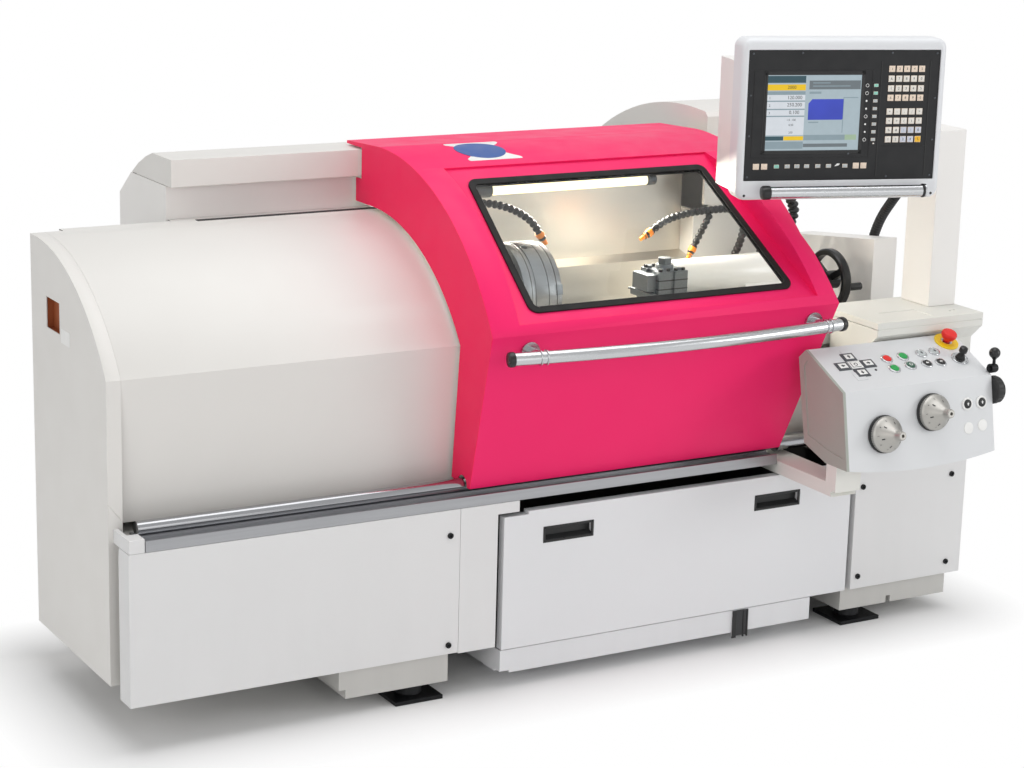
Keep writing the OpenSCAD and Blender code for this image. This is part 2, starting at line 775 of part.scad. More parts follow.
// Front view of the hood, with the receding right-hand edge; x moves that edge
module hood_front(x) {
    polygon([[hood_left, 400], [571 + x, 400], [571 + x, hood_foot[1]], [hood_right + x, hood_crease[1]],
        [634 + x, 988], [617 + x, 1032], [613 + x, 1090], [613 + x, 1300], [hood_left, 1300]]);
}

module on_window() {
    translate([0, chord_foot[0], chord_foot[1]]) rotate([chord_angle, 0, 0]) children();
}

module hood_recess(g) {
    on_window() translate([0, 0, -g]) linear_extrude(recess_depth + g) polygon(
        [recess_in[0] + [-g, -g], recess_in[1] + [g, -g], recess_in[2] + [g, g], recess_in[3] + [-g, g]]);
}

module hood_solid(g) {
    intersection() {
        along_x([hood_left, hood_right]) hood_profile(g);
        along_y([-600, hood_back]) hood_front(0);
    }
}

module hood_shell() {
    color("#e8387c") {
        difference() {
            union() {
                difference() {
                    hood_solid(0);
                    // inside, closed on the left by the end wall
                    intersection() {
                        along_x([hood_left + hood_wall, hood_right]) hood_profile(-hood_wall);
                        along_y([-600, hood_back + 1]) hood_front(-hood_wall);
                    }
                    // open right-hand end inside its narrow return flange
                    along_x([hood_left + hood_wall, hood_right + 1]) hood_profile(-22);
                    box([hood_left + hood_wall, hood_right], [-332, 400], [400, 502]);
                    box([hood_left + hood_wall, hood_right], [hood_back - 30, 400], [400, 1190]);
                }
                intersection() {
                    hood_solid(0);
                    hood_recess(hood_wall);
                }
            }
            hood_recess(0);
            along_x([hood_left - 1, hood_left + hood_wall + 1]) hood_clearance();
            along_x([500, hood_right]) translate([rail_y, rail_z]) circle(r = rail_d / 2 + 6);
            on_window() translate([0, 0, -20]) linear_extrude(40) rounded_polygon(window_in, 18, -10);
        }
        // guide shoes that ride on the rail
        for (x = [-270, 470]) hood_shoe(x);
    }
}

module hood_shoe(x) {
    difference() {
        union() {
            box([x, x + 70], [-332, rail_y + 18], [rail_z, 534]);
            box([x, x + 70], [-341, -330], [524, 534]);
        }
        rod_x([x - 1, x + 71], rail_y, rail_z, rail_d / 2 + 2 * fit);
        hood_outside_cut(x);
    }
}

module hood_outside_cut(x) {
    difference() {
        box([x - 1, x + 71], [-400, -300], [480, 560]);
        along_x([x - 2, x + 72]) hood_profile(-hood_wall + 1);
    }
}

module window_gasket() {
    color("#1f2123") on_window() difference() {
        union() {
            linear_extrude(5) rounded_polygon(window_in, 24, 0);
            translate([0, 0, -hood_wall - 4]) linear_extrude(hood_wall + 5)
                rounded_polygon(window_in, 17.7, -10.3);
        }
        translate([0, 0, -20]) linear_extrude(40) rounded_polygon(window_in, 10, -17);
        translate([0, 0, -4]) linear_extrude(6) rounded_polygon(window_in, 12, -13);
    }
}

module window_pane() {
    color([0.85, 0.9, 0.92, 0.25]) on_window() {
        translate([0, 0, -4]) linear_extrude(6) rounded_polygon(window_in, 12, -13);
    }
}

module hood_handle() {
    chord = [-280, 638];
    sag = 34;
    half = (chord[1] - chord[0]) / 2;
    bend_r = (half * half + sag * sag) / (2 * sag);
    sweep = 2 * asin(half / bend_r);
    mid = (chord[0] + chord[1]) / 2;
    end_y = hood_crease[0] - handle_reach;
    z = 836;
    color("#b9bcc0") translate([mid, end_y + bend_r - sag, z]) rotate([0, 0, 270 - sweep / 2]) {
        rotate_extrude(angle = sweep, $fn = 360) translate([bend_r, 0]) circle(r = handle_d / 2, $fn = 32);
    }
    for (x = [-205, 590]) {
        color("#b9bcc0") difference() {
            union() {
                rod_y(x, [end_y - 18, hood_crease[0] + 35], z, 12);
                rod_y(x, [hood_crease[0] + 1, hood_crease[0] + 35], z, 24);
            }
            along_x([x - 40, x + 40]) hood_profile(0);
            translate([mid, end_y + bend_r - sag, z]) rotate([0, 0, 270 - sweep / 2]) {
                rotate_extrude(angle = sweep, $fn = 360) translate([bend_r, 0])
                    circle(r = handle_d / 2 - 0.5, $fn = 32);
            }
        }
    }
}

// ---- Chip drawer ----

module chip_drawer() {
    color("#d9dadb") difference() {
        union() {
            // front, double-walled
            box([-225, 785], [-panel_front, -336], [101, 436]);
            // tray behind it
            box([-218, 778], [-337, 205], [104, 400]);
            // runners on the side ledges
            box([-231, -217], [-336, 205], [432.3, 434.3]);
            box([777, 791], [-336, 205], [432.3, 434.3]);
            box([-219, -217], [-336, 205], [398, 434.3]);
            box([777, 779], [-336, 205], [398, 434.3]);
        }
        box([-214, 774], [-333, 201], [108, 437]);
        box([-226, -160], [-362, -330], [428, 437]);
        for (x = [[-116, 17], [490, 622]]) box(x, [-361, -342], [355, 389]);
    }
}

// ---- Console ----

module console_outer() {
    intersection() {
        along_x(console_x) polygon([console_top_rear, console_crease, console_foot, [-558, 517],
            [-464, 547], [-424, 753]]);
        translate([(console_x[0] + console_x[1]) / 2, -300, bow_z]) rotate([90, 0, 0])
            cylinder(r = bow_r, h = 400, $fn = 400);
    }
}

module on_console_top(p) {
    translate([p[0], console_crease[0] + p[1] * cos(console_top_angle),
        console_crease[1] + p[1] * sin(console_top_angle)])
        rotate([console_top_angle, 0, 0]) children();
}

module on_console_front(p) {
    drop = console_crease[1] - p[1];
    translate([p[0], console_crease[0] - drop / tan(console_front_angle), p[1]])
        rotate([console_front_angle, 0, 0]) children();
}

module console_housing() {
    color("#d8dadc") difference() {
        union() {
            console_outer();
            for (p = [red_at, green_1_at, green_2_at, dark_at]) on_console_top(p) {
                translate([0, 0, -1]) cylinder(r = 15, h = 3.5);
            }
            for (p = symbol_at) on_console_top(p) translate([0, 0, -1]) cylinder(r = 14, h = 3.5);
            on_console_top(estop_at) translate([0, 0, -1]) cylinder(r = 31, h = 3.5);
            on_console_top(joystick_at) translate([0, 0, -1]) cylinder(r = 22, h = 4);
            for (p = ring_at) on_console_front(p) translate([0, 0, -1]) cylinder(r = 15, h = 3.5);
            for (p = blank_at) on_console_front(p) translate([0, 0, -1]) cylinder(r = 14, h = 2.2);
            for (q = key_places()) on_console_top(q) translate([-15, -15, -1]) cube([30, 30, 2.4]);
        }
        along_x([console_x[0] + console_wall, console_x[1] - console_wall]) polygon([[-449, 770],
            [-599.5, 699.5], [-631, 524], [-557, 537], [-468, 552], [-429.5, 752]]);
        // shallow recess in the left side
        along_x([console_x[0] - 1, console_x[0] + 2]) polygon([[-458, 752], [-596, 688],
            [-622, 545], [-560, 552], [-478, 570], [-446, 735]]);
        for (p = [red_at, green_1_at, green_2_at, dark_at]) on_console_top(p) {
            translate([0, 0, -8]) cylinder(r = button_d / 2 + 0.15, h = 12);
        }
        on_console_top(estop_at) translate([0, 0, -8]) cylinder(r = 8.2, h = 14);
        on_console_top(joystick_at) {
            translate([0, 0, -8]) cylinder(r = joystick_ball_r, h = 14);
            rotate([0, 90, 0]) cylinder(r = joystick_pin_r + fit, h = 2 * joystick_pin_end + 1, center = true);
        }
        for (p = handwheel_at) on_console_front(p) translate([0, 0, -9]) cylinder(r = 6 + fit, h = 12);
        rod_x([console_x[1] - 9, console_x[1] + 1], lever_at[1], lever_at[2], 6 + fit);
        rod_x([console_x[1] - 9, console_x[1] + 1], knob_at[1], knob_at[2], 6 + fit);
    }
}

function key_places() = [[645, 94], [654, 135], [611, 97], [688, 99], [635, 52]];

module push_button(p) {
    on_console_top(p) {
        translate([0, 0, -4.5]) cylinder(r = button_d / 2, h = 10);
    }
}

module button_red() { color("#e0301e") push_button(red_at); }
module button_green_1() { color("#1fb35a") push_button(green_1_at); }
module button_green_2() { color("#2f9a69") push_button(green_2_at); }
module button_dark() { color("#4f6a62") push_button(dark_at); }

module estop_button() {
    color("#e8241c") on_console_top(estop_at) {
        translate([0, 0, -4.5]) cylinder(r = 8, h = 17);
        translate([0, 0, 12]) rotate_extrude() polygon([[0, 0], [15, 0], [20, 9], [20, 15], [17, 19],
            [0, 20]]);
    }
}

module joystick() {
    color("#1a1a1b") on_console_top(joystick_at) {
        sphere(r = joystick_ball_r - fit);
        rotate([0, 90, 0]) cylinder(r = joystick_pin_r, h = 2 * joystick_pin_end, center = true);
        cylinder(r = 6, h = 22);
        translate([0, 0, 20]) cylinder(r = 10.5, h = 16);
    }
}

module ball_lever() {
    color("#1a1a1b") {
        rod_x([console_x[1] - 5.5, console_x[1] + 20], lever_at[1], lever_at[2], 6);
        rod_x([console_x[1] + 0.4, console_x[1] + 22], lever_at[1], lever_at[2], 11);
        rod_z(console_x[1] + 13, lever_at[1], [lever_at[2], lever_at[2] + 30], 4.5);
        translate([console_x[1] + 13, lever_at[1], lever_at[2] + 38]) sphere(r = 14);
    }
}

module side_knob() {
    color("#161617") translate([console_x[1], knob_at[1], knob_at[2]]) rotate([0, 90, 0]) {
        translate([0, 0, -5.5]) cylinder(r = 6, h = 8);
        translate([0, 0, 0.4]) rotate_extrude() polygon([[0, 0], [30, 0], [35, 4], [35, 22], [29, 28],
            [0, 30]]);
    }
}

module crank_wheel(p) {
    k = crank_d / 88;
    on_console_front(p) difference() {
        union() {
            color("#222325") translate([0, 0, 0.4]) cylinder(r = 46 * k, h = 9);
            color("#b3b3b0") rotate_extrude($fn = 96) polygon([[0, -5.5], [6, -5.5], [6, 9], [44 * k, 9],
                [44 * k, 20], [40 * k, 25], [15, 56], [12, 60], [11, 74], [9, 77], [0, 77]]);
        }
        translate([0, 0, 66]) cylinder(r = 3.5, h = 20);
        for (a = [0 : 60 : 300]) rotate([0, 0, a]) translate([29, 0, 30]) cylinder(r = 2.6, h = 30);
    }
}

module handwheel_1() { crank_wheel(handwheel_at[0]); }
module handwheel_2() { crank_wheel(handwheel_at[1]); }

module console_support() {
    color("#dcdad5") {
        // arm from the bed to the left end of the console
        difference() {
            union() {
                box([551, 626], [-596, -200], [441, 474]);
                box([551, 626], [-596, -556], [441, 560]);
                box([551, 626], [-262, -200], [440, 500]);
            }
            console_outer();
            // chamfered front corner
            translate([0, -596, 441]) rotate([45, 0, 0]) box([540, 640], [-20, 20], [-9, 9]);
        }
        // neck behind the console with the shelf on it
        difference() {
            along_x([765, 1098]) polygon([[-452, 789], [-452, 822], [-215, 822], [-215, 776],
                [-264, 776], [-264, 465], [-330, 465], [-412, 560], [-412, 752]]);
            along_x([765 + sheet, 1098 - sheet]) polygon([[-448, 791], [-448, 822 - sheet],
                [-218, 822 - sheet], [-218, 779], [-267, 779], [-267, 468], [-328, 468], [-408, 562],
                [-408, 753]]);
            // shallow recess and the two small sockets in the top
            box([842, 954], [-440, -352], [820.5, 823]);
            for (x = [1034, 1048]) rod_z(x, -398, [815, 823], 4);
            for (x = [760, 1090]) box([x, x + 9], [-453, -214], [804.6, 806]);
            box([764, 1099], [-453, -451.2], [804.6, 806]);
        }
    }
}

module column() {
    color("#d6d3cd") {
        difference() {
            box(column_x, column_y, [822, column_top]);
            box([column_x[0] + 4, column_x[1] - 4], [column_y[0] + 4, column_y[1] - 4],
                [830, column_top - 4]);
        }
        // lower knuckle and its pin, which carry the display
        box([pivot[0], column_x[0] + 1], [pivot[1] - 13, pivot[1] + 13], [pivot_z - 34, pivot_z]);
        rod_z(pivot[0], pivot[1], [pivot_z - 34, pivot_z], pivot_r);
        rod_z(pivot[0], pivot[1], [pivot_z - 1, pivot_z + 46], pin_r);
    }
}

// ---- Display ----

module in_display() {
    translate(display_c) rotate([0, 0, display_turn]) children();
}

module display_frame() {
    color("#c3c7cb") in_display() difference() {
        along_y([0, display_depth]) rounded_rect([-display_w / 2, display_w / 2], display_z, 24);
        along_y([-1, 9]) rect([-panel_w / 2 - 1, panel_w / 2 + 1], [-panel_h / 2 - 1, panel_h / 2 + 1]);
        along_y([-1, display_depth + 1]) rect([-224, 224], [-panel_h / 2 + 14, 110]);
    }
}

module operator_panel() {
    color("#2c2f33") in_display() difference() {
        along_y([3, 9]) rect([-panel_w / 2, panel_w / 2], [-panel_h / 2, panel_h / 2]);
        along_y([2, 4]) rect([-192, 45], [-84, 97]);
    }
}

module display_housing() {
    c = [for (i = [0, 1]) pivot[i] - display_c[i]];
    lug = [c[0] * cos(display_turn) + c[1] * sin(display_turn),
        -c[0] * sin(display_turn) + c[1] * cos(display_turn)];
    lug_z = [pivot_z + 0.4 - display_c[2], pivot_z + 40 - display_c[2]];
    color("#d0ccc6") in_display() difference() {
        union() {
            difference() {
                box([-252, 236], [display_depth, housing_depth], housing_z);
                box([-249, 233], [display_depth - 1, housing_depth - sheet],
                    [housing_z[0] + sheet, housing_z[1] - sheet]);
            }
            box([176, 214], [housing_depth - 1, lug[1] + 13], lug_z);
            box([176, lug[0]], [lug[1] - 13, lug[1] + 13], lug_z);
            rod_z(lug[0], lug[1], lug_z, pivot_r);
        }
        rod_z(lug[0], lug[1], [lug_z[0] - 1, lug_z[1] + 1], pin_r + fit);
    }
}

module display_handle() {
    color("#b9bcc0") in_display() {
        rod_x([-186, 202], -30, -178, 14);
        for (x = [-165, 184]) rod_y(x, [-26, 0], -178, 8);
    }
    color("#151516") in_display() {
        rod_x([-198, -186], -30, -178, 16);
        rod_x([202, 210], -30, -178, 16);
    }
}

// ---- Lamp and hoses ----

module lamp() {
    color("#fff4d8") rod_x([46, 520], 225, 1092, 19);
    color("#8c8e90") {
        rod_x([-60, 46], 225, 1092, 21);
        rod_x([520, 536], 225, 1092, 21);
        for (x = [-40, 522]) box([x, x + 10], [225, 285], [1084, 1100]);
    }
}

module conduit() {
    color("#1a1b1c") swept_tube(conduit_route, 13.5, 10, [1, 0, 0]);
}

module coolant_hoses() {
    color("#232426") {
        swept_tube(riser_route, 10, 8, [0, 1, 0]);
        swept_tube(branch_route, 9, 8, [0, 1, 0]);
        swept_tube(supply_route, 15, 8, [1, 0, 0]);
        swept_tube(chuck_hose_route, 10, 8, [0, 1, 0]);
    }
}

machine_bed();
machine_stand();
levelling_feet();
coolant_tank();
left_end_cap();
headstock_cover();
left_front_panel();
narrow_front_panel();
right_front_panel();
panel_bolts();
rear_box();
rear_box_lid();
splash_back();
right_end_box();
right_arch_cover();
rail_strip();
rail_bracket();
guide_rail();
headstock();
main_motor();
motor_pulley();
drive_belt();
spindle();
chuck_body();
jaw_1();
jaw_2();
jaw_3();
saddle();
cross_slide();
tool_post();
tool_holder();
tailstock();
quill();
tailstock_handwheel();
clamp_lever();
hood_shell();
window_pane();
window_gasket();
hood_handle();
chip_drawer();
console_housing();
console_support();
column();
display_frame();
display_housing();
operator_panel();
display_handle();
estop_button();
joystick();
ball_lever();
side_knob();
handwheel_1();
handwheel_2();
button_red();
button_green_1();
button_green_2();
button_dark();
lamp();
conduit();
coolant_hoses();
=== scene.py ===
import math
import bmesh
import bpy
from mathutils import Matrix, Vector


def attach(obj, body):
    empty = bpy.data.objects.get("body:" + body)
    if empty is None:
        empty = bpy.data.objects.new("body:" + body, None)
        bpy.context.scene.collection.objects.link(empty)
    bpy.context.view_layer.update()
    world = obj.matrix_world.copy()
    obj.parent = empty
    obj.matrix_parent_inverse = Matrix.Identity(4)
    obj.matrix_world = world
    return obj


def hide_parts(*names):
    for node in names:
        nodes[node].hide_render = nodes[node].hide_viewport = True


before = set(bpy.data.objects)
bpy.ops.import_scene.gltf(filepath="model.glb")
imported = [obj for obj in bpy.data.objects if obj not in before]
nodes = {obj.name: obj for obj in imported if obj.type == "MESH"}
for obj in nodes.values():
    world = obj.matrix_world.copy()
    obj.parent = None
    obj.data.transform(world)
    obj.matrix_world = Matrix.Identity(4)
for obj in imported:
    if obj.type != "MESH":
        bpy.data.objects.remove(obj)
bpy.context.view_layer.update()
MM = 0.001
ID = Matrix.Identity(4)
SPINDLE_Y, SPINDLE_Z = -20, 880
# the hood's arc: centre and outer radius, in millimetres, and its flat recess, in metres
ARC_Y, ARC_Z, ARC_R = 150, 578, 650
RECESS = ((-0.4117, 0.8950), (-0.0347, 1.1960))


# ---------------------------------------------------------------- camera
def make_camera():
    """The photograph's camera, solved from the machine's straight edges."""
    yaw, pitch, roll = (math.radians(a) for a in (30.0, 14.09, -1.52))
    fwd = Vector((math.sin(yaw) * math.cos(pitch), math.cos(yaw) * math.cos(pitch), -math.sin(pitch)))
    right = Vector((math.cos(yaw), -math.sin(yaw), 0))
    down = fwd.cross(right)
    r2 = right * math.cos(roll) + down * math.sin(roll)
    d2 = -right * math.sin(roll) + down * math.cos(roll)
    cam = bpy.data.objects.new("camera", bpy.data.cameras.new("camera"))
    bpy.context.scene.collection.objects.link(cam)
    m = Matrix((r2, -d2, -fwd)).transposed().to_4x4()
    m.translation = Vector((-2.90765, -5.0241, 2.1))
    cam.matrix_world = m
    cam.data.lens = 85.0
    cam.data.sensor_width = 36.0
    cam.data.clip_end = 60
    bpy.context.scene.camera = cam


make_camera()


# ---------------------------------------------------------------- materials
def lin(h):
    """Linear colour from a hex string."""
    c = [int(h[i:i + 2], 16) / 255 for i in (1, 3, 5)]
    return tuple(x / 12.92 if x <= 0.04045 else ((x + 0.055) / 1.055) ** 2.4 for x in c) + (1.0,)


def shade(c, k):
    return tuple(min(1.0, x * k) for x in c[:3]) + (1.0,)


def feed(t, socket, v):
    """Set a socket to a value, or link it to another node's output."""
    if isinstance(v, bpy.types.NodeSocket):
        t.links.new(v, socket)
    else:
        socket.default_value = v


def node(t, kind, **values):
    n = t.nodes.new("ShaderNode" + kind)
    for k, v in values.items():
        feed(t, n.inputs[k.replace("_", " ")], v)
    return n


def noise(t, vec, scale, detail, rough=0.5):
    return node(t, "TexNoise", Vector=vec, Scale=scale, Detail=detail, Roughness=rough).outputs["Fac"]


def remap(t, value, a, b, lo=0.3, hi=0.7):
    """A value from lo to hi becomes one from a to b; a noise keeps mostly to 0.3 to 0.7."""
    return node(t, "MapRange", Value=value, From_Min=lo, From_Max=hi, To_Min=a, To_Max=b).outputs["Result"]


def mixc(t, fac, a, b):
    n = t.nodes.new("ShaderNodeMix")
    n.data_type = "RGBA"
    for i, v in ((0, fac), (6, a), (7, b)):
        feed(t, n.inputs[i], v)
    return n.outputs[2]


def calc(t, op, a, b=0, kind="Math"):
    n = t.nodes.new("ShaderNode" + kind)
    n.operation = op
    feed(t, n.inputs[0], a)
    if kind == "Math" or b:
        feed(t, n.inputs[1], b)
    return n.outputs["Value" if kind == "Math" or op == "LENGTH" else "Vector"]


def vector(t, op, a, b=None):
    return calc(t, op, a, b, "VectorMath")


def rays(t, one, other):
    """1 for rays of either kind, else 0."""
    path = t.nodes.new("ShaderNodeLightPath")
    return calc(t, "MAXIMUM", *(path.outputs["Is %s Ray" % k] for k in (one, other)))


def stretched(t, coord, s):
    return node(t, "Mapping", Vector=coord, Scale=s).outputs["Vector"]


def place(t):
    """The object's own coordinates."""
    return t.nodes.new("ShaderNodeTexCoord").outputs["Object"]


def xyz(t):
    return node(t, "SeparateXYZ", Vector=place(t)).outputs


def base_mat(name):
    m = bpy.data.materials.new(name)
    m.use_nodes = True
    t = m.node_tree
    return m, t, t.nodes["Principled BSDF"], place(t)


def drift(t, f, c, down, up):
    """A colour that varies with the noise f between two shades of c."""
    return mixc(t, remap(t, f, 0, 1), shade(c, 1 - down), shade(c, 1 + up))


def finish(t, b, colour, f, smoothest, roughest, height, strength, distance):
    """Base colour, a gloss that varies with the noise f, and a bump."""
    feed(t, b.inputs["Base Color"], colour)
    feed(t, b.inputs["Roughness"], remap(t, f, smoothest, roughest))
    if strength:
        bump = node(t, "Bump", Strength=strength, Distance=distance, Height=height)
        feed(t, b.inputs["Normal"], bump.outputs["Normal"])


def paint(name, hexcol, rough, coat=0.0, var=0.02, grime=0.0, peel=0.25, spec=0.5):
    """Sprayed paint: slow colour drift, orange peel, uneven gloss, dust below the height grime."""
    m, t, b, co = base_mat(name)
    c = lin(hexcol)
    col = drift(t, noise(t, co, 2.3, 4), c, var, var * 0.6)
    if grime:
        streak = noise(t, stretched(t, co, (9, 9, 1.4)), 3.0, 5)
        low = remap(t, xyz(t)["Z"], grime, 0.0, 0.0, 0.45)
        col = mixc(t, calc(t, "MULTIPLY", low, remap(t, streak, 0.1, 0.5)), col, shade(c, 0.78))
    finish(t, b, col, noise(t, co, 14, 5), rough - 0.06, rough + 0.07, noise(t, co, 420, 2), peel, 0.00012)
    b.inputs["Coat Weight"].default_value = coat
    b.inputs["Coat Roughness"].default_value = 0.08
    b.inputs["Specular IOR Level"].default_value = spec
    return m


def brushed(name, hexcol, rough, along, var, bump, metallic=1.0, grain=240):
    """Brushed or ground metal, with its grain along one axis."""
    m, t, b, co = base_mat(name)
    s = {"x": (0.02, 1, 1), "y": (1, 0.02, 1), "z": (1, 1, 0.02)}[along]
    lines = noise(t, stretched(t, co, s), grain, 4, 0.6)
    col = drift(t, lines, lin(hexcol), var, var * 0.5)
    finish(t, b, col, lines, rough - 0.05, rough + 0.06, lines, bump, 0.00005)
    b.inputs["Metallic"].default_value = metallic
    return m


def turned(name, hexcol, rough, var=0.16):
    """Turned metal: fine rings round the spindle's axis."""
    m, t, b, co = base_mat(name)
    off = vector(t, "SUBTRACT", co, (0, SPINDLE_Y * MM, SPINDLE_Z * MM))
    rings = t.nodes.new("ShaderNodeTexNoise")
    rings.noise_dimensions = "1D"
    radius = vector(t, "LENGTH", vector(t, "MULTIPLY", off, (0, 1, 1)))
    for k, v in (("Scale", 260), ("Detail", 3), ("W", radius)):
        feed(t, rings.inputs[k], v)
    f = rings.outputs["Fac"]
    finish(t, b, drift(t, f, lin(hexcol), var, var * 0.4), f, rough - 0.08, rough + 0.1, f, 0, 0)
    b.inputs["Metallic"].default_value = 1.0
    return m


def plain_colour(m):
    """A finished paint's tree, shader, colour and coordinates, to change its colour by place."""
    t = m.node_tree
    b = t.nodes["Principled BSDF"]
    return t, b, b.inputs["Base Color"].links[0].from_socket, xyz(t)


def hood_mat():
    """The hood's colour outside, with painted light on its left end wall, and light grey on its inner faces."""
    m = paint("hood_paint", "#f8246c", 0.42, var=0.015, peel=0.04, spec=0.25)
    t, b, old, (x, y, z) = plain_colour(m)

    def f(op, a, b2=0):
        return calc(t, op, a, b2)

    def plane(y0, z0, ny, nz):
        """Signed distance outwards from a plane along X."""
        return f("ADD", f("MULTIPLY", f("SUBTRACT", y, y0), ny), f("MULTIPLY", f("SUBTRACT", z, z0), nz))

    # just inside the arc and the sloping roof, or just behind the flat lower front
    dy, dz = f("SUBTRACT", y, ARC_Y * MM), f("SUBTRACT", z, ARC_Z * MM)
    arc = f("LESS_THAN", f("SQRT", f("ADD", f("MULTIPLY", dy, dy), f("MULTIPLY", dz, dz))), (ARC_R - 2) * MM)
    roof = f("LESS_THAN", f("ADD", z, f("MULTIPLY", f("MAXIMUM", dy, 0), 0.045)), 1.2258)
    front = f("LESS_THAN", plane(-0.4266, 0.878, -0.9724, -0.2337), -0.002)
    upper = f("GREATER_THAN", z, 0.878)
    lower = f("SUBTRACT", 1, upper)
    shell = f("MAXIMUM", f("MULTIPLY", upper, f("MULTIPLY", arc, roof)), f("MULTIPLY", lower, front))
    # and not on the walls of the window's recess
    (y0, z0), (y1, z1) = RECESS
    length = math.hypot(y1 - y0, z1 - z0)
    ny, nz = (z0 - z1) / length, (y1 - y0) / length
    behind = f("LESS_THAN", plane(y0, z0, ny, nz), -0.002)
    right = f("SUBTRACT", 0.6055, f("MULTIPLY", plane(y0, z0, nz, -ny), 0.091 / length))
    aside = f("MAXIMUM", f("LESS_THAN", x, -0.2328), f("GREATER_THAN", x, right))
    window = f("MAXIMUM", f("MAXIMUM", behind, aside), lower)
    inner = f("MULTIPLY", f("MULTIPLY", shell, window), f("GREATER_THAN", x, -0.305))
    # painted light: the left end wall's outer face gets a brighter, redder pink than the rest of the hood
    col = mixc(t, f("LESS_THAN", x, -0.3055), old, lin("#ff225e"))
    feed(t, b.inputs["Base Color"], mixc(t, inner, col, lin("#dedcd8")))
    return m


def split_mat(name, hexcol, second, axis, lo, hi, rough, peel):
    """Paint that changes to a second colour where a coordinate passes from lo to hi."""
    m = paint(name, hexcol, rough, peel=peel)
    t, b, old, at = plain_colour(m)
    feed(t, b.inputs["Base Color"], mixc(t, remap(t, at[axis], 0.0, 1.0, lo, hi), old, lin(second)))
    return m


def plastic(name, hexcol, rough, grain=700, bump=0.15, var=0.08):
    m, t, b, co = base_mat(name)
    slow = noise(t, co, 30, 4)
    col = drift(t, slow, lin(hexcol), var, var)
    finish(t, b, col, slow, rough - 0.05, rough + 0.06, noise(t, co, grain, 2), bump, 0.0002)
    return m


def glow(name, hexcol, strength, var=0.05, grain=60, base=0.1):
    """A light that fills its own face, over a darker base of the same colour."""
    m, t, b, co = base_mat(name)
    c = lin(hexcol)
    feed(t, b.inputs["Emission Color"], drift(t, noise(t, co, grain, 2), c, var, 0))
    for k, v in (("Base Color", shade(c, base)), ("Emission Strength", strength), ("Roughness", 0.5)):
        b.inputs[k].default_value = v
    return m


def glass_mat():
    """Window glass that lets lamps and bounced light through."""
    m, t, b, co = base_mat("window_glass")
    for k, v in (("Base Color", (0.95, 0.97, 0.97, 1)), ("Transmission Weight", 1.0), ("IOR", 1.01),
                 ("Coat Weight", 0.3), ("Coat Roughness", 0.02),
                 ("Roughness", remap(t, noise(t, co, 12, 4), 0.0, 0.01))):
        feed(t, b.inputs[k], v)
    clear = node(t, "BsdfTransparent", Color=(0.96, 0.98, 0.97, 1))
    blend(t, rays(t, "Shadow", "Diffuse"), b, clear)
    return m


def blend(t, fac, one, other):
    """One shader or the other on the surface."""
    mix = t.nodes.new("ShaderNodeMixShader")
    for i, v in enumerate((fac, one.outputs[0], other.outputs[0])):
        feed(t, mix.inputs[i], v)
    feed(t, t.nodes["Material Output"].inputs["Surface"], mix.outputs[0])


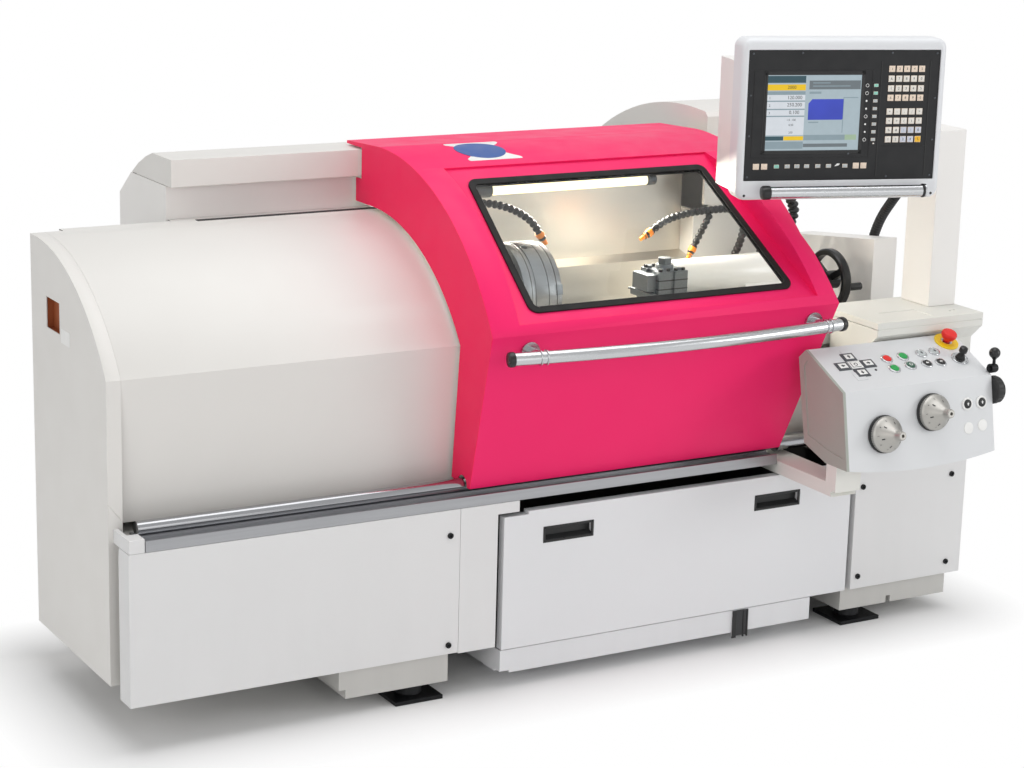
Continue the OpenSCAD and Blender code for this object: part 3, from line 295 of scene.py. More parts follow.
M = {
    "cover": paint("cover_paint", "#e4e2de", 0.40, peel=0.3),
    "front": paint("front_paint", "#e2e2e2", 0.42, grime=0.35),
    "frontw": paint("front_paint_white", "#e4e5e7", 0.38, grime=0.3),
    "cast": paint("bed_paint", "#c9c8c4", 0.5, grime=0.6, peel=0.7),
    "shade": paint("shelf_paint", "#e2e2dc", 0.42),
    "column": paint("column_paint", "#f0eeeb", 0.42),
    "box": paint("rear_box_paint", "#f2f0ed", 0.42),
    # painted shade: the console's left end, left of X 0.558 m, is a darker grey for the shadow between hood and
    # console
    "console": split_mat("console_paint", "#dcdee0", "#a6aaa2", "X", 0.5585, 0.5575, 0.40, 0.6),
    # painted shade: the tray's inside, behind its front, is near black so that the gap above the drawer reads dark
    "drawer": split_mat("drawer_paint", "#e4e5e7", "#232426", "Y", -0.3350, -0.3340, 0.38, 0.25),
    "pink": hood_mat(),
    "chrome": brushed("rail_chrome", "#a9aaad", 0.15, "x", 0.06, 0.02),
    "alu": brushed("drawn_aluminium", "#a8a9ac", 0.34, "x", 0.08, 0.1),
    "tube": brushed("satin_tube", "#c6c8ca", 0.24, "x", 0.03, 0.02),
    "crank": brushed("crank_aluminium", "#b4b2ad", 0.44, "x", 0.05, 0.02),
    "stainless": brushed("stainless_sheet", "#d6d1c8", 0.36, "x", 0.03, 0.03, grain=60),
    "steel": turned("turned_steel", "#b4b7ba", 0.27),
    "chuck": turned("chuck_steel", "#8e9092", 0.32, var=0.1),
    "ground": brushed("ground_steel", "#84888c", 0.32, "y", 0.18, 0.2),
    "post": brushed("tool_post_steel", "#6f7478", 0.38, "y", 0.15, 0.1, metallic=0.6),
    "dark": brushed("black_steel", "#1d1e20", 0.42, "z", 0.2, 0.2, metallic=0.6),
    "slide": brushed("slide_casting", "#797e82", 0.38, "x", 0.2, 0.25),
    "casting": paint("grey_casting", "#8f948f", 0.55, peel=1.0, var=0.1),
    "motor": paint("motor_paint", "#6d7478", 0.5, peel=0.8, var=0.1),
    "white_gloss": paint("barrel_paint", "#fbfaf6", 0.22, coat=0.4),
    "rubber": plastic("black_rubber", "#1c1d1f", 0.62, 500, 0.4, 0.2),
    "black": plastic("black_plastic", "#161617", 0.32, 900, 0.1, 0.15),
    "matte_black": plastic("matte_black", "#1a1b1c", 0.5, 900, 0.2, 0.15),
    "anthracite": plastic("anthracite_foil", "#0e0f12", 0.6, 1200, 0.1, 0.06),
    "gasket": plastic("gasket_rubber", "#070708", 0.75, 500, 0.2, 0.1),
    "plate": plastic("dark_plate", "#2a2b2d", 0.5, 900, 0.1, 0.05),
    "orange": plastic("orange_plastic", "#f08a1c", 0.4, 700, 0.1, 0.1),
    "rust": paint("orange_lining", "#a8592e", 0.6, var=0.25),
    "white": plastic("white_plastic", "#eeeeec", 0.38, 900, 0.05, 0.04),
    "keygrey": plastic("key_grey", "#4a4d52", 0.45, 900, 0.1, 0.06),
    "blue": plastic("blue_foil", "#174f9c", 0.35, 900, 0.03, 0.06),
    "glass": glass_mat(),
    "lamp": glow("lamp_tube", "#fff0c4", 1.6, base=0.6),
    "hose": plastic("hose_plastic", "#18191b", 0.36, 600, 0.1, 0.1),
    "silver": paint("frame_coat", "#e2e4e7", 0.34, peel=0.2),
    "steel_screw": brushed("screw_steel", "#55585c", 0.4, "x", 0.2, 0.1),
    "scr_blue": glow("screen_blue", "#3c4fd0", 0.75, 0.25, 9),
    "scr_ink": plastic("ink", "#26282b", 0.5),
}
for name, colour in (("red", "#e6170f"), ("green", "#0fa24a"), ("dark_green", "#2c5a47"), ("yellow", "#f2cf1d")):
    M[name] = plastic(name + "_plastic", colour, 0.4, 900, 0.05, 0.05)
for name, colour, strength in (("pale", "#c3d6df", 0.6), ("teal", "#2f5560", 0.7), ("yellow", "#f5ca10", 0.8),
                               ("white", "#e9eff6", 0.7), ("grey", "#7c878d", 0.6), ("mid", "#9fb4be", 0.6),
                               ("green", "#b9d4b4", 0.6)):
    M["scr_" + name] = glow("screen_" + name, colour, strength)
for name, colour in (("cream", "#ecd9c6"), ("white", "#e6e2da"), ("blue", "#ccd1de"), ("yellow", "#f3bb2c"),
                     ("teal", "#8fd0c0"), ("dim", "#b9bfc0")):
    M["key_" + name] = plastic("key_" + name, colour, 0.45, 900, 0.1, 0.04)

look = {node: mat for mat, names in {
    "cast": "machine_bed machine_stand",
    "dark": "levelling_feet panel_bolts clamp_lever",
    "frontw": "coolant_tank",
    "cover": "left_end_cap headstock_cover rear_box_lid right_arch_cover",
    "front": "left_front_panel narrow_front_panel right_front_panel rail_bracket",
    "box": "rear_box",
    "stainless": "splash_back",
    "column": "right_end_box column display_frame display_housing",
    "alu": "rail_strip",
    "chrome": "guide_rail",
    "casting": "headstock",
    "motor": "main_motor",
    "ground": "motor_pulley jaw_1 jaw_2 jaw_3",
    "rubber": "drive_belt conduit",
    "steel": "spindle",
    "chuck": "chuck_body",
    "slide": "saddle cross_slide",
    "post": "tool_post tool_holder quill",
    "white_gloss": "tailstock",
    "black": "tailstock_handwheel joystick ball_lever",
    "pink": "hood_shell",
    "glass": "window_pane",
    "gasket": "window_gasket",
    "tube": "hood_handle display_handle",
    "drawer": "chip_drawer",
    "console": "console_housing",
    "shade": "console_support",
    "anthracite": "operator_panel",
    "red": "estop_button button_red",
    "matte_black": "side_knob",
    "crank": "handwheel_1 handwheel_2",
    "green": "button_green_1 button_green_2",
    "dark_green": "button_dark",
    "lamp": "lamp",
    "hose": "coolant_hoses",
}.items() for node in names.split()}
# radius of each node's rounded edges, in millimetres
soft_edge = {node: r for r, names in {
    3.0: "left_end_cap console_housing display_housing",
    2.5: "hood_shell headstock_cover rear_box_lid console_support column machine_bed machine_stand "
         "right_arch_cover",
    2.0: "rail_bracket tailstock",
    1.6: "left_front_panel narrow_front_panel right_front_panel chip_drawer",
    1.5: "coolant_tank saddle cross_slide",
    1.0: "window_gasket levelling_feet",
    0.8: "tool_post chuck_body jaw_1 jaw_2 jaw_3",
}.items() for node in names.split()}
WELD = 0.00002  # vertices closer than this are merged
FLAT_ANGLE = math.radians(0.3)  # faces flatter than this to each other become one
EDGE_ANGLE = math.radians(34)  # edges sharper than this are rounded
for name, o in nodes.items():
    o.data.materials.clear()
    o.data.materials.append(M[look[name]])
    if name in soft_edge:
        w = o.modifiers.new("weld", "WELD")
        w.merge_threshold = WELD
        if name != "coolant_tank":  # the tank keeps its own faces
            flat = o.modifiers.new("flat", "DECIMATE")
            flat.decimate_type = "DISSOLVE"
            flat.angle_limit = FLAT_ANGLE
        v = o.modifiers.new("edge", "BEVEL")
        v.width = soft_edge[name] * MM
        v.segments = 2
        v.limit_method = "ANGLE"
        v.angle_limit = EDGE_ANGLE
        v.harden_normals = True
        v.use_clamp_overlap = True


# ---------------------------------------------------------------- light, floor
WORLD = 0.52  # strength of the plain world light
FLOOR_HALF = 14.0
FOOTPRINT = (1.10, 0.32, 1.0)  # half sizes within which the floor keeps its shadow
FADE = 0.26  # width over which the floor turns to plain white outside it


def area(name, loc, target, size, power, colour=(1, 1, 1)):
    d = bpy.data.lights.new(name, "AREA")
    d.shape = "RECTANGLE"
    d.size, d.size_y = size
    d.energy = power
    d.color = colour
    o = bpy.data.objects.new(name, d)
    bpy.context.scene.collection.objects.link(o)
    o.visible_camera = False
    o.visible_transmission = False
    o.location = loc
    o.rotation_euler = (Vector(target) - Vector(loc)).to_track_quat("-Z", "Y").to_euler()


def stage_and_light():
    w = bpy.data.worlds.new("studio")
    bpy.context.scene.world = w
    w.use_nodes = True
    t = w.node_tree
    bg = t.nodes["Background"]
    bg.inputs["Color"].default_value = (1, 1, 1, 1)
    glossy = calc(t, "MULTIPLY", t.nodes.new("ShaderNodeLightPath").outputs["Is Glossy Ray"], 0.45)
    seen = calc(t, "MAXIMUM", rays(t, "Camera", "Transmission"), glossy)
    feed(t, bg.inputs["Strength"], remap(t, seen, WORLD, 1.0, 0.0, 1.0))

    me = bpy.data.meshes.new("floor")
    s = FLOOR_HALF
    me.from_pydata([(-s, -s, 0), (s, -s, 0), (s, s, 0), (-s, s, 0)], [], [(0, 1, 2, 3)])
    floor = bpy.data.objects.new("floor", me)
    bpy.context.scene.collection.objects.link(floor)
    m, t, b, co = base_mat("floor_paint")
    t.nodes.remove(b)
    grey = mixc(t, remap(t, noise(t, co, 3, 3), 0, 1), (0.86, 0.86, 0.86, 1), (0.88, 0.88, 0.88, 1))
    out = vector(t, "SUBTRACT", vector(t, "ABSOLUTE", co), FOOTPRINT)
    away = vector(t, "LENGTH", vector(t, "MAXIMUM", out, (0.0, 0.0, 0.0)))
    white = calc(t, "MULTIPLY", remap(t, away, 0.0, 1.0, 0.0, FADE), rays(t, "Camera", "Glossy"))
    blend(t, white, node(t, "BsdfDiffuse", Color=grey), node(t, "Emission", Strength=1.0))
    me.materials.append(m)

    area("overhead", (0.2, -0.3, 4.6), (0.1, 0, 0.6), (4.6, 3.2), 88)
    area("front_right", (4.4, -3.9, 2.0), (0.2, 0, 0.7), (2.0, 2.0), 58)
    area("front", (-0.4, -6.2, 1.5), (0.1, 0, 0.8), (4.0, 2.4), 26)
    area("left_fill", (-4.4, -2.4, 2.0), (-0.4, 0, 0.7), (2.4, 2.4), 27, (1.0, 0.98, 0.96))
    area("work_space", (0.28, 0.17, 1.075), (0.26, -0.02, 0.86), (0.46, 0.05), 7, (1.0, 0.94, 0.82))


stage_and_light()
bpy.context.scene.view_settings.view_transform = "Standard"


# ---------------------------------------------------------------- mesh making
def circle(r, h, seg):
    turns = [2 * math.pi * k / seg for k in range(seg)]
    return [(r * math.cos(a), r * math.sin(a), h) for a in turns]


class Make:
    """Collects forms in one mesh, in millimetres; each face takes one of the named materials."""

    def __init__(self, name, body, mats, slot, flat_angle=32):
        self.name, self.body, self.mats, self.slot, self.angle = name, body, mats, slot, flat_angle
        self.bm = bmesh.new()

    def add(self, verts, faces, m, at=ID):
        vs = [self.bm.verts.new(at @ Vector(v)) for v in verts]
        return vs, [self.face([vs[i] for i in f], m) for f in faces]

    def face(self, verts, m):
        f = self.bm.faces.new(verts)
        f.material_index = m
        return f

    def skin(self, rings, m=0):
        """Faces between closed rings with the same number of vertices."""
        n = len(rings[0])
        return [self.face([a[k], a[(k + 1) % n], b[(k + 1) % n], b[k]], m)
                for a, b in zip(rings, rings[1:]) for k in range(n)]

    def prism(self, poly, h0, h1, m, at, r=0.0, seg=2):
        """A polygon in local XY from height h0 to h1, its edges rounded by r."""
        n = len(poly)
        _, fs = self.add([(x, y, h) for h in (h0, h1) for x, y in poly],
                         [tuple(range(n - 1, -1, -1)), tuple(range(n, 2 * n))]
                         + [(i, (i + 1) % n, n + (i + 1) % n, n + i) for i in range(n)], m, at)
        bmesh.ops.recalc_face_normals(self.bm, faces=fs)
        if r:
            es = [e for e in dict.fromkeys(e for f in fs for e in f.edges) if e.calc_face_angle(0) > 0.5]
            bmesh.ops.bevel(self.bm, geom=es, offset=r, segments=seg, affect="EDGES", profile=0.5,
                            clamp_overlap=True)

    def box(self, x, y, z, m=0, at=ID, r=0.0, seg=2):
        self.prism([(x[0], y[0]), (x[1], y[0]), (x[1], y[1]), (x[0], y[1])], z[0], z[1], m, at, r, seg)

    def lathe(self, prof, m, at, seg):
        """A profile of (radius, height) pairs turned round local Z."""
        rings = [self.add(circle(r, h, seg) if r else [(0, 0, h)], [], 0, at)[0] for r, h in prof]
        fs = []
        for a, b in zip(rings, rings[1:]):
            for k in range(seg):
                j = (k + 1) % seg
                q = [a[k % len(a)], a[j % len(a)], b[j % len(b)], b[k % len(b)]]
                q = [v for i, v in enumerate(q) if v not in q[:i]]
                if len(q) > 2:
                    fs.append(self.face(q, m))
        bmesh.ops.recalc_face_normals(self.bm, faces=fs)

    def tube(self, path, radius, seg, mats=lambda s: 0):
        """A closed tube along a path; radius and material are functions of the arc length."""
        n = len(path)
        t = [(path[min(i + 1, n - 1)] - path[max(i - 1, 0)]).normalized() for i in range(n)]
        u = t[0].orthogonal().normalized()
        rings, s = [], 0.0
        for i in range(n):
            if i:
                s += (path[i] - path[i - 1]).length
                u = (u - t[i] * u.dot(t[i])).normalized()
            w, r = t[i].cross(u), radius(s)
            rings.append([self.bm.verts.new(path[i] + (u * math.cos(2 * math.pi * k / seg)
                                                       + w * math.sin(2 * math.pi * k / seg)) * r)
                          for k in range(seg)])
        fs, s = [], 0.0
        for i, pair in enumerate(zip(rings, rings[1:])):
            s += (path[i + 1] - path[i]).length
            fs += self.skin(pair, mats(s))
        fs += [self.face(rings[0], mats(0)), self.face(rings[-1], mats(s))]
        bmesh.ops.recalc_face_normals(self.bm, faces=fs)

    def text(self, s, size, m, at, h):
        """Digits and signs, flat in local XY, centred."""
        c = bpy.data.curves.new("t", "FONT")
        c.body = s
        c.size = size
        c.align_x, c.align_y = "CENTER", "CENTER"
        c.resolution_u = 3
        o = bpy.data.objects.new("t", c)
        bpy.context.scene.collection.objects.link(o)
        me = o.to_mesh()
        self.add([(v.co.x, v.co.y, h) for v in me.vertices], [tuple(p.vertices) for p in me.polygons], m, at)
        o.to_mesh_clear()
        bpy.data.objects.remove(o)
        bpy.data.curves.remove(c)

    def end(self, replaces=()):
        bm = self.bm
        bm.transform(Matrix.Scale(MM, 4))
        for f in bm.faces:
            f.smooth = True
        lim = math.radians(self.angle)
        for e in bm.edges:
            e.smooth = len(e.link_faces) == 2 and e.calc_face_angle(4) < lim
        me = bpy.data.meshes.new(self.name)
        bm.to_mesh(me)
        bm.free()
        for k in self.mats:
            me.materials.append(M[k])
        o = bpy.data.objects.new(self.name, me)
        bpy.context.scene.collection.objects.link(o)
        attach(o, self.body)
        if replaces:
            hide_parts(*replaces)
        return o


def axes(origin, x, y, z):
    m = Matrix((Vector(x), Vector(y), Vector(z))).transposed().to_4x4()
    m.translation = Vector(origin)
    return m


def to_x(x, y, z):
    """Local Z runs along +X."""
    return axes((x, y, z), (0, 1, 0), (0, 0, 1), (1, 0, 0))


# the console's front edge and the slopes of its top and front
EDGE_Y, EDGE_Z = -604, 704
TOP_A = math.radians(25.06)
FRONT_A = math.radians(79.88)
# the display's middle and its turn, and its own directions across and back
DISPLAY, DISPLAY_TURN = Vector((626, -442, 1340)), math.radians(-16)
ACROSS = Vector((math.cos(DISPLAY_TURN), math.sin(DISPLAY_TURN), 0))
BACK = Vector((-math.sin(DISPLAY_TURN), math.cos(DISPLAY_TURN), 0))


def on_slope(x, y, z, slope, s, h):
    """A place on a console face: s up its slope and h out of it."""
    up = Vector((0, math.cos(slope), math.sin(slope)))
    n = Vector((0, -math.sin(slope), math.cos(slope)))
    return axes(Vector((x, y, z)) + up * s + n * h, (1, 0, 0), up, n)


def top(x, s, h=0.0):
    return on_slope(x, EDGE_Y, EDGE_Z, TOP_A, s, h)


def front(x, z, h=0.0):
    return on_slope(x, EDGE_Y - (EDGE_Z - z) / math.tan(FRONT_A), z, FRONT_A, 0, h)


def disp(x=0.0, y=0.0, z=0.0):
    """Local X across the display, Y up, Z out towards the operator; y is depth behind its front."""
    return axes(DISPLAY + ACROSS * x + BACK * y + Vector((0, 0, z)), ACROSS, (0, 0, 1), -BACK)


def spin(at, degrees):
    return at @ Matrix.Rotation(math.radians(degrees), 4, "Z")


def spline(points, step):
    """A smooth line through the points, in steps of about step."""
    p = [Vector(q) for q in points]
    p = [p[0] * 2 - p[1]] + p + [p[-1] * 2 - p[-2]]
    out = []
    for i in range(1, len(p) - 2):
        a, b, c, d = p[i - 1:i + 3]
        n = max(2, round((c - b).length / step))
        for k in range(n):
            t = k / n
            out.append(0.5 * ((2 * b) + (c - a) * t + (2 * a - 5 * b + 4 * c - d) * t * t
                              + (3 * b - a - 3 * c + d) * t ** 3))
    out.append(p[-2])
    return out


# ---------------------------------------------------------------- hoses
def cords():
    """The conduit behind the column and the coolant hoses."""
    conduit = spline([(1051, -235, 1150), (1051, -206, 1150), (1066, -154, 1108), (1084, -84, 1052),
                      (1106, -8, 984), (1124, 44, 910), (1132, 66, 830), (1132, 68, 760), (1132, 68, 700)], 2.5)
    g = Make("conduit_ribbed", "machine", ["rubber"], "conduit")
    g.tube(conduit, lambda s: 13.3 if int(s / 5) % 2 else 11.8, seg=24)
    o = g.end(["conduit"])

    def beads(r):
        """Radius along a segmented hose: round beads, each with a narrow neck."""
        pitch = 15.0

        def f(s):
            k = (s % pitch) / pitch
            return r * (0.70 + 0.36 * math.sin(math.pi * min(1.0, k / 0.8)) ** 0.6) if k < 0.8 else r * 0.70
        return f

    def hose(name, pts, r, clear, tip=True):
        """A hose whose first stretch is clear, with a nozzle on its end if it has a tip."""
        path = spline(pts, 2.0)
        g = Make(name, "machine", ["hose", "white"], "coolant_hoses")
        g.tube(path, beads(r), seg=20, mats=lambda s: 1 if s < clear else 0)
        o = g.end(["coolant_hoses"])
        if tip:
            d = (path[-1] - path[-4]).normalized()
            side = d.orthogonal().normalized()
            at = axes(path[-1] - d * 20, side, d.cross(side), d)
            g = Make(name + "_nozzle", "machine", ["orange"], "coolant_hoses")
            g.lathe([(0, -4), (r + 1.0, -4), (r + 1.6, 5), (r * 0.65, 20), (r * 0.5, 34), (r * 0.3, 34), (0, 30)],
                    0, at, 28)
            g.end()

    hose("riser_hose", [(748, 188, 700), (748, 188, 770), (748, 168, 850), (748, 122, 930), (742, 106, 990),
                        (700, 103, 1018), (640, 101, 1022), (560, 99, 1018), (490, 96, 1003), (425, 92, 968)], 10, 60)
    hose("branch_hose", [(632, 101, 1011), (622, 100, 994), (594, 97, 950), (568, 94, 908)], 9, 0)
    hose("supply_hose", [(760, 180, 1120), (760, 158, 1120), (812, 130, 1102), (874, 114, 1060), (908, 112, 1005),
                         (894, 122, 950), (850, 150, 895), (812, 186, 830), (800, 192, 770), (800, 192, 700)],
         14.2, 0, tip=False)
    hose("chuck_hose", [(-258, 150, 1046), (-234, 150, 1046), (-150, 142, 1072), (-45, 116, 1080),
                        (30, 104, 1065), (90, 98, 1030), (128, 96, 980)], 10, 70)


cords()


# ---------------------------------------------------------------- display
def rounded(x, y, r, n):
    """Outline of a rectangle with round corners, anticlockwise."""
    out = []
    for cx, cy, a in ((x[1] - r, y[0] + r, -90), (x[1] - r, y[1] - r, 0), (x[0] + r, y[1] - r, 90),
                      (x[0] + r, y[0] + r, 180)):
        for k in range(n + 1):
            t = math.radians(a + 90 * k / n)
            out.append((cx + r * math.cos(t), cy + r * math.sin(t)))
    return out


def frame_ring():
    """The display's frame: an outer shell with rounded front edges round a recess for the panel."""
    g = Make("display_frame_rounded", "display", ["silver"], "display_frame", 30)
    loops = []
    steps = [(0, -60)] + [(14 - 14 * math.cos(math.radians(a)), -14 + 14 * math.sin(math.radians(a)))
                          for a in (0, 18, 36, 54, 72, 90)]
    for inset, h in steps:
        loops.append(((-258 + inset, 258 - inset), (-202 + inset, 182 - inset), 24 - inset * 0.7, h))
    for a, b, r, h in ((242.5, 156.5, 3, 0), (241.3, 155.3, 2.5, -1.2), (241.3, 155.3, 2.5, -9)):
        loops.append(((-a, a), (-b, b), r, h))
    for h in (-9, -60):
        loops.append(((-224, 224), (-141, 110), 2, h))
    vs = [g.add([(x, y, h) for x, y in rounded(xs, ys, r, 8)], [], 0, disp())[0] for xs, ys, r, h in loops]
    g.skin(vs + vs[:1])
    bmesh.ops.recalc_face_normals(g.bm, faces=g.bm.faces)
    g.end(["display_frame"])


def key(g, x, z, w, h, m, lift=1.5):
    g.box((-w / 2, w / 2), (-h / 2, h / 2), (0, lift), m, disp(x, 3.0, z), 0.7)


def display_panel():
    """The operator panel's trim, screen and keys, and the display handle's ends."""
    g = Make("panel_trim", "display", ["matte_black", "steel_screw"], "operator_panel")
    at = disp(0, 3.0, 0)
    # raised border round the screen, the keypad's field and the grooves beside it
    for x, z in (((-225, 72), (107, 108)), ((-225, 72), (-101, -100)), ((-225, -224), (-101, 108)),
                 ((71, 72), (-101, 108)), ((92, 95), (-146, 128)), ((216, 219), (-146, 128)),
                 ((95, 216), (-75, -74))):
        g.box(x, z, (-0.5, 0.9), 0, at, 0.3, 1)
    for x, z in (((-200, -191), (-92, 105)), ((44, 53), (-92, 105)),
                 ((-200, 53), (-92, -83)), ((-200, 53), (96, 105))):
        g.box(x, z, (-0.5, 0.6), 0, at, 0.4, 1)
    for x, z in ((-230, 146), (-108, 148), (118, 148), (232, 147), (-232, 48), (-232, -48), (233, 40),
                 (233, -60), (-232, -146), (120, -148), (232, -146), (20, -92)):
        g.lathe([(0, 1.4), (1.6, 1.4), (2.6, 0.8), (2.8, -0.4)], 1, disp(x, 3, z), 16)
    g.end()

    g = Make("screen_bezel", "display", ["black"], "operator_panel")
    for x, z in (((-196, -191), (-88, 101)), ((44, 49), (-88, 101)), ((-196, 49), (-88, -83)),
                 ((-196, 49), (96, 101))):
        g.box(x, z, (-0.5, 1.6), 0, at, 0.6)
    g.end()

    g = Make("screen_picture", "display", ["scr_pale", "scr_teal", "scr_yellow", "scr_white", "scr_grey",
                                          "scr_blue", "scr_mid", "scr_ink", "scr_green"], "operator_panel")

    def X(c):
        return -192 + (c - 285) * 0.362

    def Z(c):
        return 97 - (c - 340) * 0.373

    g.box((-191, 44), (-83, 96), (-0.6, 0.10), 0, at)
    for x0, z0, x1, z1, m, lift in (
            (287, 348, 550, 392, 1, 0.16), (287, 402, 550, 440, 2, 0.16), (287, 446, 550, 724, 3, 0.16),
            (287, 446, 550, 468, 6, 0.22), (287, 504, 550, 512, 6, 0.22), (287, 556, 550, 564, 6, 0.22),
            (287, 600, 550, 608, 6, 0.22), (575, 378, 932, 434, 4, 0.16), (600, 390, 720, 396, 6, 0.22),
            (600, 410, 860, 416, 6, 0.22), (578, 448, 660, 462, 6, 0.2), (816, 484, 822, 712, 6, 0.2),
            (822, 484, 920, 490, 6, 0.2), (287, 732, 412, 758, 1, 0.16), (414, 732, 550, 758, 2, 0.16),
            (552, 724, 840, 758, 6, 0.16), (840, 724, 920, 758, 8, 0.16), (287, 766, 550, 812, 6, 0.14),
            (552, 780, 860, 802, 4, 0.16), (580, 640, 650, 648, 6, 0.2)):
        g.box((X(x0), X(x1)), (Z(z1), Z(z0)), (-0.6, lift), m, at)
    g.prism([(X(a), Z(b)) for a, b in ((575, 628), (812, 628), (818, 622), (818, 496), (600, 496), (575, 524))],
            -0.6, 0.3, 5, at)
    for z, s in ((486, "120.000"), (532, "250.200"), (580, "0.100")):
        g.text(s, 13, 7, disp(X(478), 2.7, Z(z)) @ Matrix.Scale(0.9, 4), 0.15)
    for s, size, x, z in (("2000", 11, 455, 421), ("1.0  100", 7, 460, 628), ("0.00", 7, 460, 660),
                          ("250", 7, 460, 708), ("1", 8, 306, 488), ("2", 8, 306, 536), ("3", 8, 306, 584)):
        g.text(s, size, 7, disp(X(x), 2.7, Z(z)), 0.15)
    g.end()

    g = Make("keypad", "display", ["key_cream", "key_white", "key_blue", "key_yellow", "scr_ink", "key_teal",
                                  "key_dim", "white"], "operator_panel")
    cols = (119.3, 138.5, 157.3, 176.2, 195.3)
    rows = (110, 86.6, 63.4, 41, 8.2, -14.2, -36.2, -58.5)
    glyphs = "12345678901234567890+-./=<>()*%#:;0123456"
    for i, z in enumerate(rows):
        for j, x in enumerate(cols):
            m = 0 if i in (0, 3) else 1
            if i in (6, 7) and j >= 2:
                m = 2
            if (i, j) == (7, 4):
                m = 3
            key(g, x, z, 15.5, 15.0, m)
            g.text(glyphs[i * 5 + j], 8.5, 4, disp(x, 1.5, z), 0.12)
    for i in range(8):
        z = 70.9 - 18.5 * i
        key(g, 81.3, z, 11, 7.5, 5 if i < 2 else 6, lift=0.9)
        ring = i in (0, 1, 4, 7)
        g.lathe([(3.3, 0.5), (3.3, 0.9), (4.3, 0.9), (4.3, 0.5)] if ring else [(0, 0.9), (2.4, 0.9), (2.4, 0.5)],
                7, disp(59, 3, z), 14)
    key(g, 83, -68, 4, 3, 7, lift=0.7)
    for x, m in ((-210.8, 0), (-190.2, 0), (-159.4, 5), (-132.3, 6), (-108, 6), (-83.4, 6), (-55.2, 6), (-28, 6),
                 (13.6, 6), (41.5, 0), (60.7, 0)):
        big = m == 0
        key(g, x, -121, 15.5 if big else 13, 14 if big else 9, m, lift=1.3)
    g.prism([(-7, -3), (0, 4), (7, 3), (3, -1)], 0, 0.8, 7, disp(-6, 3, -119))
    g.end()

    # black ends and stand-offs of the handle below
    g = Make("display_handle_ends", "display", ["black"], "display_handle")
    for x, s in ((-186, -1), (202, 1)):
        at = axes(disp(x, -30, -178).translation, (0, 0, 1), BACK * s, ACROSS * s)
        e = 20 if s < 0 else 8
        g.lathe([(14.2, -2), (16.2, -1), (16.6, 1), (16.6, e - 5), (14.5, e - 1.2), (9, e), (0, e + 0.2)], 0, at, 40)
    g.end()
    g = Make("display_screws", "display", ["matte_black"], "display_frame")
    for x, z in ((238, -190), (-238, -190)):
        g.lathe([(0, 0.8), (2.6, 0.8), (3.2, 0.2), (3.2, -0.5)], 0, disp(x, 0, z), 16)
    g.end()


# ---------------------------------------------------------------- console
def dome(r, h0, h1):
    """Profile of a round cap with a softened edge and a slight crown."""
    c = 1.6
    return [(r, h0), (r, h1 - c), (r - c * 0.3, h1 - c * 0.3), (r - c, h1),
            (r * 0.5, h1 + c * 0.35), (0, h1 + c * 0.5)]


def arrow(g, at, m, k=1.0):
    shape = ((-2, -5), (2, -5), (2, 0), (5, 0), (0, 6), (-5, 0), (-2, 0))
    g.prism([(x * k, y * k) for x, y in shape], -0.2, 0.25, m, at)


